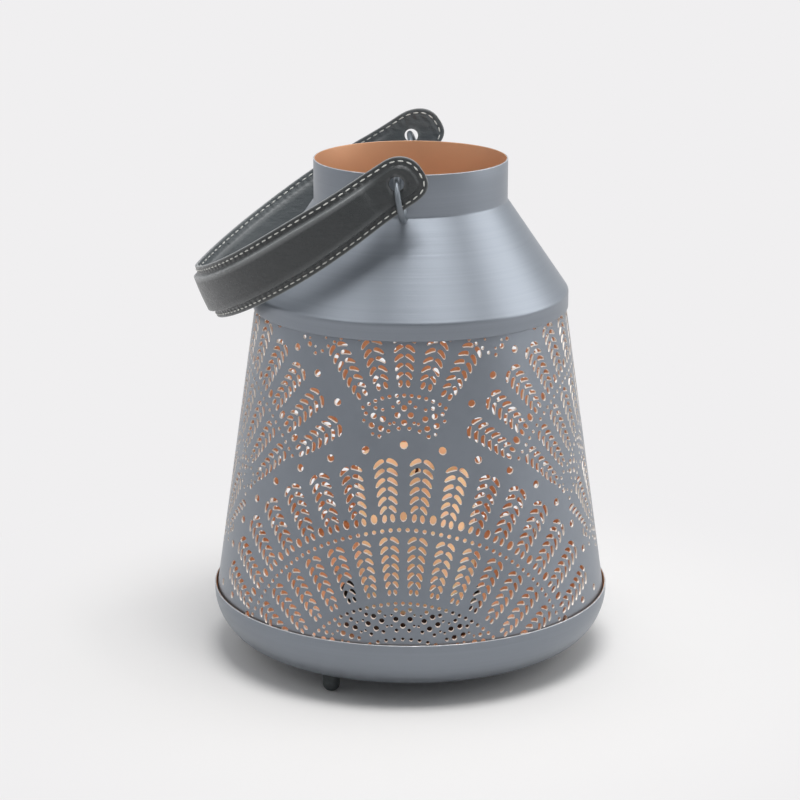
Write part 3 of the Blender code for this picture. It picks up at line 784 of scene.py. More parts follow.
def polygon_mesh(shapes: Sequence[Shape]) -> Mesh:
    """A flat mesh with one face for each shape.

    Args:
        shapes: The shapes' corners.

    Returns:
        The mesh.
    """
    points = []
    faces = []
    for shape in shapes:
        faces.append(list(range(len(points), len(points) + len(shape))))
        points.extend((x, y, 0.0) for x, y in shape)
    mesh = bpy.data.meshes.new("motif")
    mesh.from_pydata(points, [], faces)
    return mesh


def point_tree(points: Sequence[Sequence[float]]) -> KDTree:
    """A search tree over flat points.

    Args:
        points: The points, numbered in their order.

    Returns:
        The tree.
    """
    tree = KDTree(len(points))
    for index, point in enumerate(points):
        tree.insert((point[0], point[1], 0.0), index)
    tree.balance()
    return tree


def fill_area(points: Outline, loops: list[list[int]], precision: float) -> tuple:
    """Triangulate what lies inside the first loop and outside the others.

    Args:
        points: Flat points, of the loops and between them.
        loops: Indices of the points of each loop.
        precision: Points closer than this are merged.

    Returns:
        The flat points, the triangles and, for each flat point, the given points it came from.
    """
    flat, _, triangles, origins, _, owners = delaunay_2d_cdt(points, [], loops, 0, precision)
    return flat, [list(face) for face, owner in zip(triangles, owners) if list(owner) == [0]], origins


ROUND_CORNERS = 10


def oval(width: float, height: float, centre: Pair = (0.0, 0.0), tilt: float = 0.0) -> Shape:
    """An ellipse's corners.

    Args:
        width: Its full width.
        height: Its full height.
        centre: Its middle.
        tilt: Its turn in degrees.

    Returns:
        The corners in order.
    """
    turn = radians(tilt)
    spots = []
    for index in range(ROUND_CORNERS):
        angle = 2 * pi * (index + 0.5) / ROUND_CORNERS
        x = width / 2 * cos(angle)
        y = height / 2 * sin(angle)
        spots.append((centre[0] + x * cos(turn) - y * sin(turn),
                      centre[1] + x * sin(turn) + y * cos(turn)))
    return spots


def leaf() -> Shape:
    """A leaf-shaped slot that starts at the stem and points along +x, in metres."""
    corners = [(0.0, -0.55), (-0.12, 0.3), (0.4, 1.3), (1.55, 1.85), (3.2, 1.95), (5.0, 1.65), (6.4, 1.0),
               (7.3, 0.2), (7.15, -0.5), (6.4, -0.85), (4.9, -0.8), (3.0, -0.85), (1.3, -1.15), (0.5, -1.15)]
    return [(x / 1000, y / 1000) for x, y in corners]


@dataclass
class MotifRing:
    """Copies of a motif on a circle round a centre; angles in degrees, lengths in metres."""

    radius: float
    step: float
    count: int
    shapes: list[Shape] = field(default_factory=list)
    rows: int = 1
    pitch: float = 0.0
    lean: Pair = (0.0, 0.0)
    scale: Pair = (1.0, 1.0)
    gap: float = 0.0
    paired: bool = False
    turn: float = 0.0

    def copies(self, tree: NodeSheet, motif: Mesh,
               finish: Optional[Material] = None) -> Mesh:
        """Repeat a mesh round the ring.

        Args:
            tree: The tree that makes the copies.
            motif: The mesh to repeat.
            finish: The copies' material.

        Returns:
            The copies as one mesh.
        """
        return tree.run(motif, {
            "Count": self.count, "Step": radians(self.step), "Turn": radians(self.turn),
            "Radius": self.radius, "Rows": self.rows, "Pitch": self.pitch,
            "Lean First": radians(self.lean[0]), "Lean Last": radians(self.lean[1]),
            "Scale First": self.scale[0], "Scale Last": self.scale[1],
            "Gap": self.gap, "Paired": self.paired, "Material": finish})

    def outlines(self, tree: NodeSheet) -> list[Outline]:
        """The outlines of the ring's holes in the fan's own plane.

        Args:
            tree: The tree that makes the copies.

        Returns:
            One outline for each hole.
        """
        mesh = self.copies(tree, polygon_mesh(self.shapes))
        found = [[mesh.vertices[corner].co.xy for corner in face.vertices] for face in mesh.polygons]
        bpy.data.meshes.remove(mesh)
        return found


def dots(radius: float, step: float, count: int, width: float, height: Optional[float] = None) -> MotifRing:
    """A circle of round or oval holes."""
    return MotifRing(radius, step, count, [oval(width, height or width)])


def sprigs(inner: float, first: float, last: float, step: float, count: int, scale: Pair,
           lean: Pair = (46.0, 32.0), rows: int = 6) -> list[MotifRing]:
    """A circle of sprigs, each with a base pair of ovals and rows of leaf pairs.

    Args:
        inner: The radius of the base pair's middle.
        first: The radius where the first leaf pair meets the stem.
        last: The radius where the last leaf pair meets the stem.
        step: The angle between sprigs.
        count: How many sprigs there are.
        scale: The leaf's scale in the first and last row.
        lean: The leaf's fall in degrees in the first and last row.
        rows: How many leaf pairs there are.

    Returns:
        The base pairs' ring and the leaves' ring.
    """
    stem = 0.0004
    size = (scale[0] / 0.78) ** 1.5
    pair = [oval(0.0030 * size, 0.0051 * size, (0.0024 * size, 0.0), 8.0)]
    pitch = (last - first) / (rows - 1)
    fall = radians(lean[0])
    inmost = min(x * scale[0] * cos(fall) + y * scale[0] ** 0.4 * sin(fall) for x, y in leaf())
    return [MotifRing(inner, step, count, pair, paired=True),
            MotifRing(first, step, count, [leaf()], rows, pitch, lean, scale, stem - inmost, True)]


def flower(large: Triple, smalls: Sequence[Triple], size: float) -> list[Shape]:
    """Four large dots with smaller ones mirrored round them, in millimetres.

    Args:
        large: How far the large dots lie above, below and beside the middle.
        smalls: Place and size of each smaller dot on the right.
        size: The large dots' size.

    Returns:
        The dots' outlines.
    """
    above, below, beside = large
    spots = [(0.0, above, size), (0.0, -below, size), (beside, 0.0, size), (-beside, 0.0, size)]
    for side in (-1, 1):
        spots += [(side * x, y, small) for x, y, small in smalls]
    return [oval(wide / 1000, wide / 1000, (x / 1000, y / 1000)) for x, y, wide in spots]


def tight_flowers(radius: float, step: float, count: int) -> MotifRing:
    """A circle of the smaller flowers."""
    smalls = [(4.2, 5.65, 2.6), (6.9, 2.6, 1.7), (6.7, -3.75, 1.7), (3.75, -6.6, 2.4)]
    return MotifRing(radius, step, count, flower((3.7, 3.7, 4.25), smalls, 3.45))


def wide_flowers(radius: float, step: float, count: int) -> MotifRing:
    """A circle of the larger flowers."""
    smalls = [(3.4, 7.8, 2.6), (6.65, 4.8, 2.2), (5.95, -4.65, 2.1), (3.15, -7.9, 2.5)]
    return MotifRing(radius, step, count, flower((4.3, 4.35, 3.95), smalls, 3.8))


@dataclass
class Fan:
    """One fan of the perforation: its centre on the sheet and its rings of holes."""

    slant: float
    turn: float
    reach: float
    rings: list[MotifRing]
    border: Sequence[Triple] = ()
    crest: float = 0.0
    crest_angle: float = 8.4

    def crested(self, corner: Vector) -> Vector:
        """A point of the fan, moved outwards near its axis so that the rings come to a soft point.

        Args:
            corner: The point in the fan's own plane.

        Returns:
            The moved point.
        """
        radius = corner.length
        angle = math.degrees(math.atan2(corner.x, corner.y))
        lift = self.crest * (radius / self.reach) ** 3 * ridge(angle, 0.0, self.crest_angle)
        return corner * (1 + lift / radius)

    def outlines(self, tree: NodeSheet) -> list[Outline]:
        """All the fan's holes in its own plane.

        Args:
            tree: The tree that makes the motifs' copies.

        Returns:
            One outline for each hole.
        """
        shapes = [outline for ring in self.rings for outline in ring.outlines(tree)]
        for angle, radius, size in self.border:
            for side in (-1, 1):
                turn = radians(side * angle)
                spot = (radius * sin(turn), radius * cos(turn))
                shapes.append([Vector(corner) for corner in oval(size, size, spot)])
        return [[self.crested(corner) for corner in shape] for shape in shapes]


def bottom_fan() -> Fan:
    """The wide fan that rises from the pan's rim."""
    rings = [
        dots(0.0607, 4.75, 25, 0.0023), tight_flowers(0.0726, 13.4, 9),
        dots(0.0821, 3.06, 43, 0.0024),
        *sprigs(0.0889, 0.0953, 0.1211, 8.2, 14, (0.64, 0.84), (56.0, 37.0)),
        dots(0.1255, 2.29, 58, 0.00265),
        *sprigs(0.1325, 0.1395, 0.1661, 7.58, 16, (0.78, 1.04)),
        dots(0.1331, 7.58, 15, 0.0042, 0.0060), dots(0.1739, 7.54, 15, 0.0049)]
    border = [(60.0, 0.1300, 0.0046), (61.2, 0.1530, 0.0046), (62.9, 0.1730, 0.0046)]
    return Fan(-0.0575, 0.0, 0.1764, rings, border, crest=0.0042)


def middle_fan() -> Fan:
    """The fan at each side, between two bottom fans."""
    rings = [
        wide_flowers(0.0305, 30.0, 3), dots(0.0430, 5.87, 25, 0.0025),
        *sprigs(0.0500, 0.0565, 0.0800, 15.3, 9, (0.72, 0.95)),
        dots(0.0836, 3.4, 37, 0.0023), tight_flowers(0.0922, 14.4, 9),
        dots(0.0990, 2.7, 47, 0.0023),
        *sprigs(0.1036, 0.1096, 0.1352, 7.3, 14, (0.64, 0.84), (56.0, 37.0)),
        dots(0.1396, 2.0, 56, 0.0024),
        *sprigs(0.1468, 0.1535, 0.1795, 6.63, 14, (0.76, 1.0)),
        dots(0.1474, 6.63, 13, 0.0042, 0.0060), dots(0.1865, 6.63, 13, 0.0047)]
    return Fan(0.0100, 90.0, 0.1888, rings)


def top_fan() -> Fan:
    """The small fan that hangs under the skirt, above a bottom fan."""
    rings = [
        wide_flowers(0.0312, 30.8, 3), dots(0.0430, 5.87, 13, 0.0025),
        *sprigs(0.0500, 0.0565, 0.0832, 15.3, 5, (0.74, 0.98)),
        dots(0.0850, 3.4, 37, 0.0023), tight_flowers(0.0935, 14.4, 9)]
    return Fan(0.1068, 0.0, 0.0980, rings)


@dataclass
class PerforatedBody:
    """The rolled sheet cone with its cut pattern.

    A place on the sheet is (azimuth, slant height). The sheet is cut flat, as
    (azimuth times stretch, slant height), and then rolled.
    """

    rim_radius: float = 0.1229
    top_radius: float = 0.0968
    rise: float = 0.1798
    sink: float = 0.0050
    overlap: float = 0.0080
    stretch: float = 0.110
    copies: int = 2
    row_margin: float = 0.0046
    edge_margin: float = 0.0009
    seam_margin: float = 0.0045
    hole_gap: float = 0.00055
    mesh_pitch: float = 0.0056
    mesh_clearance: float = 0.3
    wall_taper: float = 0.00006
    lip: float = 0.00036
    fans: list[Fan] = field(default_factory=lambda: [bottom_fan(), middle_fan(), top_fan()])

    def __post_init__(self) -> None:
        """Work out the cone."""
        self.angle = math.atan((self.rim_radius - self.top_radius) / self.rise)
        self.apex_reach = self.rim_radius / sin(self.angle)
        self.low = -self.sink / cos(self.angle)
        self.high = (self.rise + self.overlap) / cos(self.angle)

    def centre(self, fan: Fan, copy: int) -> tuple[Vector, Vector]:
        """Where a fan's copy lies on the unrolled cone.

        Args:
            fan: The fan.
            copy: The copy's number.

        Returns:
            The fan's centre, measured from the cone's apex, and its upward axis.
        """
        turn = radians(fan.turn + 360.0 / self.copies * copy) * sin(self.angle)
        reach = self.apex_reach - fan.slant
        spot = Vector((reach * sin(turn), -reach * cos(turn)))
        return spot, -spot.normalized()

    def rolled(self, point: Vector) -> Vector:
        """The place (azimuth, slant height) of a point on the unrolled cone."""
        return Vector((math.atan2(point.x, -point.y) / sin(self.angle), self.apex_reach - point.length))

    def covered(self, row: int, point: Vector) -> bool:
        """Whether a fan of a lower row covers a point of the unrolled cone."""
        spots = [(fan, copy) for fan in self.fans[:row] for copy in range(-self.copies, self.copies + 1)]
        return any((point - self.centre(fan, copy)[0]).length < fan.reach + self.row_margin
                   for fan, copy in spots)

    def keep(self, places: Outline) -> bool:
        """Whether a hole stays clear of the sheet's edges and its seam."""
        seam = pi - self.seam_margin / self.top_radius
        return all(self.low + self.edge_margin < place.y < self.high - self.edge_margin
                   and -seam < place.x < seam for place in places)

    def holes(self, tree: NodeSheet) -> list[Outline]:
        """All holes as outlines of places.

        Args:
            tree: The tree that makes the motifs' copies.

        Returns:
            One outline for each hole.
        """
        found = []
        for row, fan in enumerate(self.fans):
            shapes = fan.outlines(tree)
            for copy in range(self.copies):
                centre, up = self.centre(fan, copy)
                right = Vector((up.y, -up.x))
                for shape in shapes:
                    flat = [centre + right * corner.x + up * corner.y for corner in shape]
                    if self.covered(row, sum(flat, Vector((0.0, 0.0))) / len(flat)):
                        continue
                    places = [self.rolled(point) for point in flat]
                    heart = sum(place.x for place in places) / len(places)
                    shift = -2 * pi * round(heart / (2 * pi))
                    places = [Vector((place.x + shift, place.y)) for place in places]
                    if self.keep(places):
                        found.append(places)
        return self.apart(found)

    def apart(self, holes: list[Outline]) -> list[Outline]:
        """Drop each hole that would run into one already kept.

        Args:
            holes: The holes in order of their rank.

        Returns:
            The holes that stay.
        """
        spots = [(place.x * self.stretch, place.y) for hole in holes for place in hole]
        owners = [number for number, hole in enumerate(holes) for _ in hole]
        tree = point_tree(spots)
        dropped = set()
        for spot, number in zip(spots, owners):
            others = {owners[index] for _, index, _ in tree.find_range((*spot, 0.0), self.hole_gap)}
            if any(other < number and other not in dropped for other in others):
                dropped.add(number)
        return [hole for number, hole in enumerate(holes) if number not in dropped]

    def bent(self, place: Vector, inwards: float) -> Vector:
        """The point of the cone at a place of the sheet.

        Args:
            place: The azimuth and slant height.
            inwards: How far the point moves inwards, square to the sheet.

        Returns:
            The point.
        """
        radius = (self.apex_reach - place.y) * sin(self.angle) - inwards / cos(self.angle)
        z = RIM_Z + place.y * cos(self.angle)
        return on_azimuth(radius, math.degrees(place.x) + PATTERN_AZIMUTH, z)

    def spot(self, across: float, up: float) -> Vector:
        """A point of the flat sheet: across from -1 to 1 and up from 0 to 1."""
        return Vector((across * pi * self.stretch, self.low + (self.high - self.low) * up))

    def build(self, finishes: Sequence[Material], tree: NodeSheet) -> Object:
        """Cut, roll and thicken the sheet.

        Args:
            finishes: The outside, inside and cut-edge materials.
            tree: The tree that makes the motifs' copies.

        Returns:
            The body's piece.
        """
        holes = self.holes(tree)
        LOG.info("holes in the sheet: %d", len(holes))
        columns = 2 * round(pi * self.stretch / self.mesh_pitch)
        rows = round((self.high - self.low) / self.mesh_pitch)
        points = [self.spot(2 * column / columns - 1, 0.0) for column in range(columns + 1)]
        points += [self.spot(1.0, row / rows) for row in range(1, rows)]
        points += [self.spot(1 - 2 * column / columns, 1.0) for column in range(columns + 1)]
        points += [self.spot(-1.0, 1 - row / rows) for row in range(1, rows)]
        outlines = [list(range(len(points)))]
        inner_shift = {}
        for hole in holes:
            corners = [Vector((place.x * self.stretch, place.y)) for place in hole]
            if sum(a.x * b.y - b.x * a.y for a, b in zip(corners, corners[1:] + corners[:1])) < 0:
                corners.reverse()
            first = len(points)
            for index in range(len(corners)):
                along = (corners[(index + 1) % len(corners)] - corners[index - 1]).normalized()
                inwards = Vector((-along.y, along.x))
                inner_shift[first + index] = inwards * (self.wall_taper + self.lip * max(inwards.y, 0.0))
            points.extend(corners)
            outlines.append(list(range(first, len(points))))
        near = point_tree(points)
        for column in range(1, columns):
            for row in range(1, rows):
                spot = self.spot(2 * (column + 0.5 * (row % 2)) / columns - 1, row / rows)
                if near.find((spot.x, spot.y, 0.0))[2] > self.mesh_pitch * self.mesh_clearance:
                    points.append(spot)
        flat, kept, origins = fill_area(points, outlines, 1e-7)
        return self.roll(flat, kept, origins, inner_shift, finishes)

    def roll(self, flat: Sequence[Vector], kept: list[list[int]], origins: Sequence,
             inner_shift: dict[int, Vector], finishes: Sequence[Material]) -> Object:
        """Bend the cut sheet round the cone and give it its wall.

        Args:
            flat: The flat sheet's points.
            kept: The sheet's triangles.
            origins: The outline points that each flat point came from.
            inner_shift: How far each outline point moves into its hole on the inside.
            finishes: The outside, inside and cut-edge materials.

        Returns:
            The body's piece.
        """
        used = sorted({corner for face in kept for corner in face})
        order = {corner: index for index, corner in enumerate(used)}
        outside = []
        inside = []
        for corner in used:
            shift = Vector((0.0, 0.0))
            for origin in origins[corner]:
                shift = inner_shift.get(origin, shift)
            for skin, point, depth in ((outside, flat[corner], 0.0), (inside, flat[corner] + shift, SHEET)):
                skin.append(self.bent(Vector((point.x / self.stretch, point.y)), depth))
        count = len(used)
        faces = [[order[corner] for corner in face] for face in kept]
        edges = {(a, b) for face in faces for a, b in zip(face, face[1:] + face[:1])}
        seam_x = pi * self.stretch - 1e-6
        walls = []
        for here, there in edges:
            on_seam = abs(flat[used[here]].x) > seam_x and abs(flat[used[there]].x) > seam_x
            if (there, here) not in edges and not on_seam:
                walls.append([there, here, here + count, there + count])
        back = [[corner + count for corner in reversed(face)] for face in faces]
        marks = [0] * len(faces) + [1] * len(faces) + [2] * len(walls)
        return MeshSketch(outside + inside, faces + back + walls, marks).build("lantern_body", finishes, 40.0)


@dataclass
class SeamLap:
    """The lapped seam of the body, at the back, with its spot welds."""

    width: float = 0.0070
    thickness: float = 0.0006
    bevel: float = 0.0003
    seat: float = 0.00002
    welds: int = 7
    weld_depth: float = 0.0003
    above_rim: float = 0.0062
    below_skirt: float = 0.0004
    steps: int = 60

    def build(self, body: PerforatedBody, finish: Material) -> Object:
        """Make the raised lap.

        Args:
            body: The cone that it lies on.
            finish: Its material.

        Returns:
            The lap's piece.
        """
        half = self.width / 2
        top = self.thickness
        side = [(-half, self.seat), (-half, top - self.bevel), (-half + self.bevel, top)]
        across = [*side, (0.0, top), *((-offset, lift) for offset, lift in reversed(side))]
        low = body.low + self.above_rim
        high = (SKIRT_BOTTOM_Z - RIM_Z - self.below_skirt) / cos(body.angle)
        weld_steps = {round(self.steps * (index + 0.5) / self.welds) for index in range(self.welds)}
        points = []
        for step in range(self.steps + 1):
            slant = low + (high - low) * step / self.steps
            radius = (body.apex_reach - slant) * sin(body.angle)
            for offset, lift in across:
                dent = self.weld_depth if step in weld_steps and offset == 0.0 else 0.0
                points.append(body.bent(Vector((pi + offset / radius, slant)), dent - lift))
        faces = ring_faces(self.steps + 1, len(across))
        return MeshSketch(points, faces).build("body_seam_lap", [finish], 50.0)


@dataclass
class BasePan:
    """The spun dish under the body, with a recess below its floor and a bead on it."""

    radius: float = 0.1250
    floor_radius: float = 0.1058
    lip: float = 0.0040
    roundness: float = 1.76
    edge_round: float = 0.0004
    recess: Pair = (0.0135, 0.0885)
    recess_height: float = 0.0002
    recess_slope: float = 0.0015
    bead: Pair = (0.0540, 0.0760)
    bead_height: float = 0.0004
    bead_slope: float = 0.0020
    steps: int = 26

    def wall(self, offset: float) -> Shape:
        """The bowl from lip to floor.

        Args:
            offset: How far it is moved inwards.

        Returns:
            Its points.
        """
        floor_radius = self.floor_radius - offset * 0.4
        depth = RIM_Z - self.lip - offset
        power = 2 / self.roundness
        points = []
        for index in range(self.steps):
            angle = pi / 2 * index / self.steps
            radius = floor_radius + (self.radius - offset - floor_radius) * cos(angle) ** power
            points.append((radius, RIM_Z - self.lip - depth * sin(angle) ** power))
        return [*points, (floor_radius, offset)]

    def build(self, finishes: Sequence[Material]) -> Object:
        """Turn the pan.

        Args:
            finishes: The outside, inside and rim materials.

        Returns:
            The pan's piece.
        """
        start, end = self.recess
        profile = Profile().line([(0.0, SHEET)], 1)
        profile.line([(0.0, 0.0), (start, 0.0), (start + self.recess_slope, self.recess_height),
                      (end - self.recess_slope, self.recess_height), (end, 0.0)])
        profile.line(self.wall(0.0)[::-1])
        top = RIM_Z - self.edge_round
        profile.arc((self.radius - self.edge_round, top), self.edge_round, 0, 90, 4, 2)
        profile.arc((self.radius - SHEET + self.edge_round, top), self.edge_round, 90, 180, 4, 1)
        profile.line(self.wall(SHEET), 1)
        start, end = self.bead
        bead_z = SHEET + self.bead_height
        profile.line([(end, SHEET), (end - self.bead_slope, bead_z), (start + self.bead_slope, bead_z),
                      (start, SHEET)], 1)
        return profile.turn(180).build("pan", finishes, 32.0)


@dataclass
class Shoulder:
    """The spun cap with its skirt, slope and neck."""

    skirt_radius: float = 0.0981
    skirt_top_z: float = 0.2208
    neck_radius: float = 0.0598
    neck_base_z: float = 0.2768
    neck_collar: float = 0.012
    bend: float = 0.0040
    fillet: float = 0.0030
    edge_round: float = 0.00035
    bend_steps: int = 8

    def build(self, finishes: Sequence[Material]) -> Object:
        """Turn the cap.

        Args:
            finishes: The outside, inside and rim materials.

        Returns:
            The cap's piece.
        """
        run = self.skirt_radius - self.neck_radius
        turn = math.degrees(math.atan2(self.neck_base_z - self.skirt_top_z, run))
        half = math.tan(radians(90 - turn) / 2)
        bend_centre = (self.skirt_radius - self.bend, self.skirt_top_z - self.bend * half)
        fillet_centre = (self.neck_radius + self.fillet, self.neck_base_z + self.fillet * half)
        edge = self.edge_round
        steps = self.bend_steps
        outer = Profile().line([(self.skirt_radius, SKIRT_BOTTOM_Z + edge)])
        outer.arc(bend_centre, self.bend, 0, 90 - turn, steps)
        outer.arc(fillet_centre, self.fillet, 270 - turn, 180, steps)
        outer.line([(self.neck_radius, NECK_TOP_Z - self.neck_collar)])
        outer.arc((self.neck_radius - edge, NECK_TOP_Z - edge), edge, 0, 90, 4, 2)
        outer.arc((self.neck_radius - SHEET + edge, NECK_TOP_Z - edge), edge, 90, 180, 4, 1)
        outer.arc(fillet_centre, self.fillet + SHEET, 180, 270 - turn, steps, 1)
        outer.arc(bend_centre, self.bend - SHEET, 90 - turn, 0, steps, 1)
        outer.line([(self.skirt_radius - SHEET, SKIRT_BOTTOM_Z + edge)], 1)
        outer.line([(self.skirt_radius - SHEET + edge, SKIRT_BOTTOM_Z),
                    (self.skirt_radius - edge, SKIRT_BOTTOM_Z)])
        return outer.turn(192).build("shoulder", finishes, 32.0)


@dataclass
class Feet:
    """Three rubber feet and the screws that hold them."""

    circle: float = 0.0990
    azimuth: float = -29.5
    radius: float = 0.0052
    height: float = 0.0125
    rounding: float = 0.0042
    dimple: float = 0.0016
    dimple_depth: float = 0.0004
    dimple_slope: float = 0.0003
    collar: float = 0.0002
    top_chamfer: float = 0.0001
    collar_drops: Triple = (0.0022, 0.0018, 0.0003)
    screw_radius: float = 0.0015
    screw_room: float = 0.0003
    screw_depth: float = 0.0075
    head_radius: float = 0.0030
    head_height: float = 0.0018
    head_flat: float = 0.72
    head_side: float = 0.45
    head_power: float = 2.4
    recess_arm: float = 0.0015
    recess_half: float = 0.00028
    recess_depth: float = 0.0007
    thread_pitch: float = 0.0005
    thread_depth: float = 0.00022
    thread_start: float = 0.0003
    thread_end: float = 0.0009
    tip_taper: float = 0.0003
    tip_height: float = 0.0002
    facets: int = 24

    def spread(self, tree: NodeSheet, sketch: MeshSketch, name: str,
               finish: Material) -> Object:
        """Copy one fastener to the three feet.

        Args:
            tree: The tree that makes the copies.
            sketch: The fastener at the origin.
            name: The new piece's name.
            finish: Its material.

        Returns:
            The three copies as one piece.
        """
        source = sketch.build("fastener", [finish])
        ring = MotifRing(self.circle, 120.0, 3, turn=180.0 - self.azimuth)
        mesh = ring.copies(tree, source.data, finish)
        bpy.data.objects.remove(source)
        return place_mesh(name, mesh, 35.0)

    def foot(self) -> MeshSketch:
        """One foot with its bore, at the origin."""
        top = -SEAT_GAP
        bottom = top - self.height
        bore = self.screw_radius + self.screw_room
        inner = bottom + self.dimple_depth
        swollen = self.radius + self.collar
        low, middle, high = self.collar_drops
        profile = Profile().line([(0.0, top - self.screw_depth), (0.0, inner), (self.dimple, inner),
                                  (self.dimple + self.dimple_slope, bottom)])
        profile.arc((self.radius - self.rounding, bottom + self.rounding), self.rounding, -90, 0, 8)
        profile.line([(self.radius, top - low), (swollen, top - middle), (swollen, top - high),
                      (self.radius - self.top_chamfer, top), (bore, top), (bore, top - self.screw_depth)])
        return profile.turn(36)

    def dome(self, point: Vector, drop: float = 0.0) -> Vector:
        """A point of the screw's head over a flat point, lowered by a drop."""
        bulge = math.sqrt(max(1 - (point.length / self.head_radius) ** self.head_power, 0.0))
        share = self.head_side + (1 - self.head_side) * bulge
        return Vector((point.x, point.y, SHEET + SEAT_GAP + self.head_height * share - drop))

    def screw(self) -> MeshSketch:
        """One pan-head screw with a cross recess, at the origin."""
        head = SHEET + SEAT_GAP
        tip = -self.screw_depth
        arm, half = self.recess_arm, self.recess_half
        cross = []
        for quarter in range(4):
            angle = pi / 2 * quarter
            for x, y in ((arm, -half), (arm, half), (half, half)):
                cross.append(Vector((x * cos(angle) - y * sin(angle),
                                     x * sin(angle) + y * cos(angle))))
        turns = circle_angles(self.facets)
        circle = [Vector((self.head_radius * cos(turn), self.head_radius * sin(turn)))
                  for turn in turns]
        inner = [point * self.head_flat for point in circle]
        corners = len(cross)
        loops = [list(range(self.facets)), list(range(2 * self.facets, 2 * self.facets + corners))]
        flat, kept, _ = fill_area(circle + inner + cross, loops, 1e-8)
        sketch = MeshSketch()
        sketch.add([self.dome(point) for point in flat], kept)
        recess = [self.dome(point, drop) for drop in (0.0, self.recess_depth) for point in cross]
        sketch.add(recess, [face for face in ring_faces(2, corners) if face[0] != 0 or len(face) == 4])
        side = Profile().line([(self.head_radius, self.dome(circle[0]).z), (self.head_radius, head),
                               (self.screw_radius, head)])
        z = head - self.thread_start
        root = self.screw_radius - self.thread_depth
        while z > tip + self.thread_end:
            side.line([(self.screw_radius, z), (root, z - self.thread_pitch / 2)])
            z -= self.thread_pitch
        side.line([(self.screw_radius - self.tip_taper, tip + self.tip_height), (0.0, tip)])
        size = len(side.points)
        skin = side.turn(self.facets)
        faces = [face for face in skin.faces if not ({0, size - 1} <= {corner % size for corner in face})]
        sketch.add([Vector((-point.y, point.x, point.z)) for point in skin.points], faces)
        return sketch

    def build(self, tree: NodeSheet, rubber: Material,
              steel: Material) -> tuple[Object, Object]:
        """Make the feet and the screws.

        Args:
            tree: The tree that makes the copies.
            rubber: The feet's material.
            steel: The screws' material.

        Returns:
            The feet's piece and the screws' piece.
        """
        feet = self.spread(tree, self.foot(), "rubber_feet", rubber)
        return feet, self.spread(tree, self.screw(), "foot_screws", steel)


CUP_BEAD = [(0.0, 0.0060), (0.0004, 0.0052), (0.0004, 0.0044), (0.0, 0.0036)]


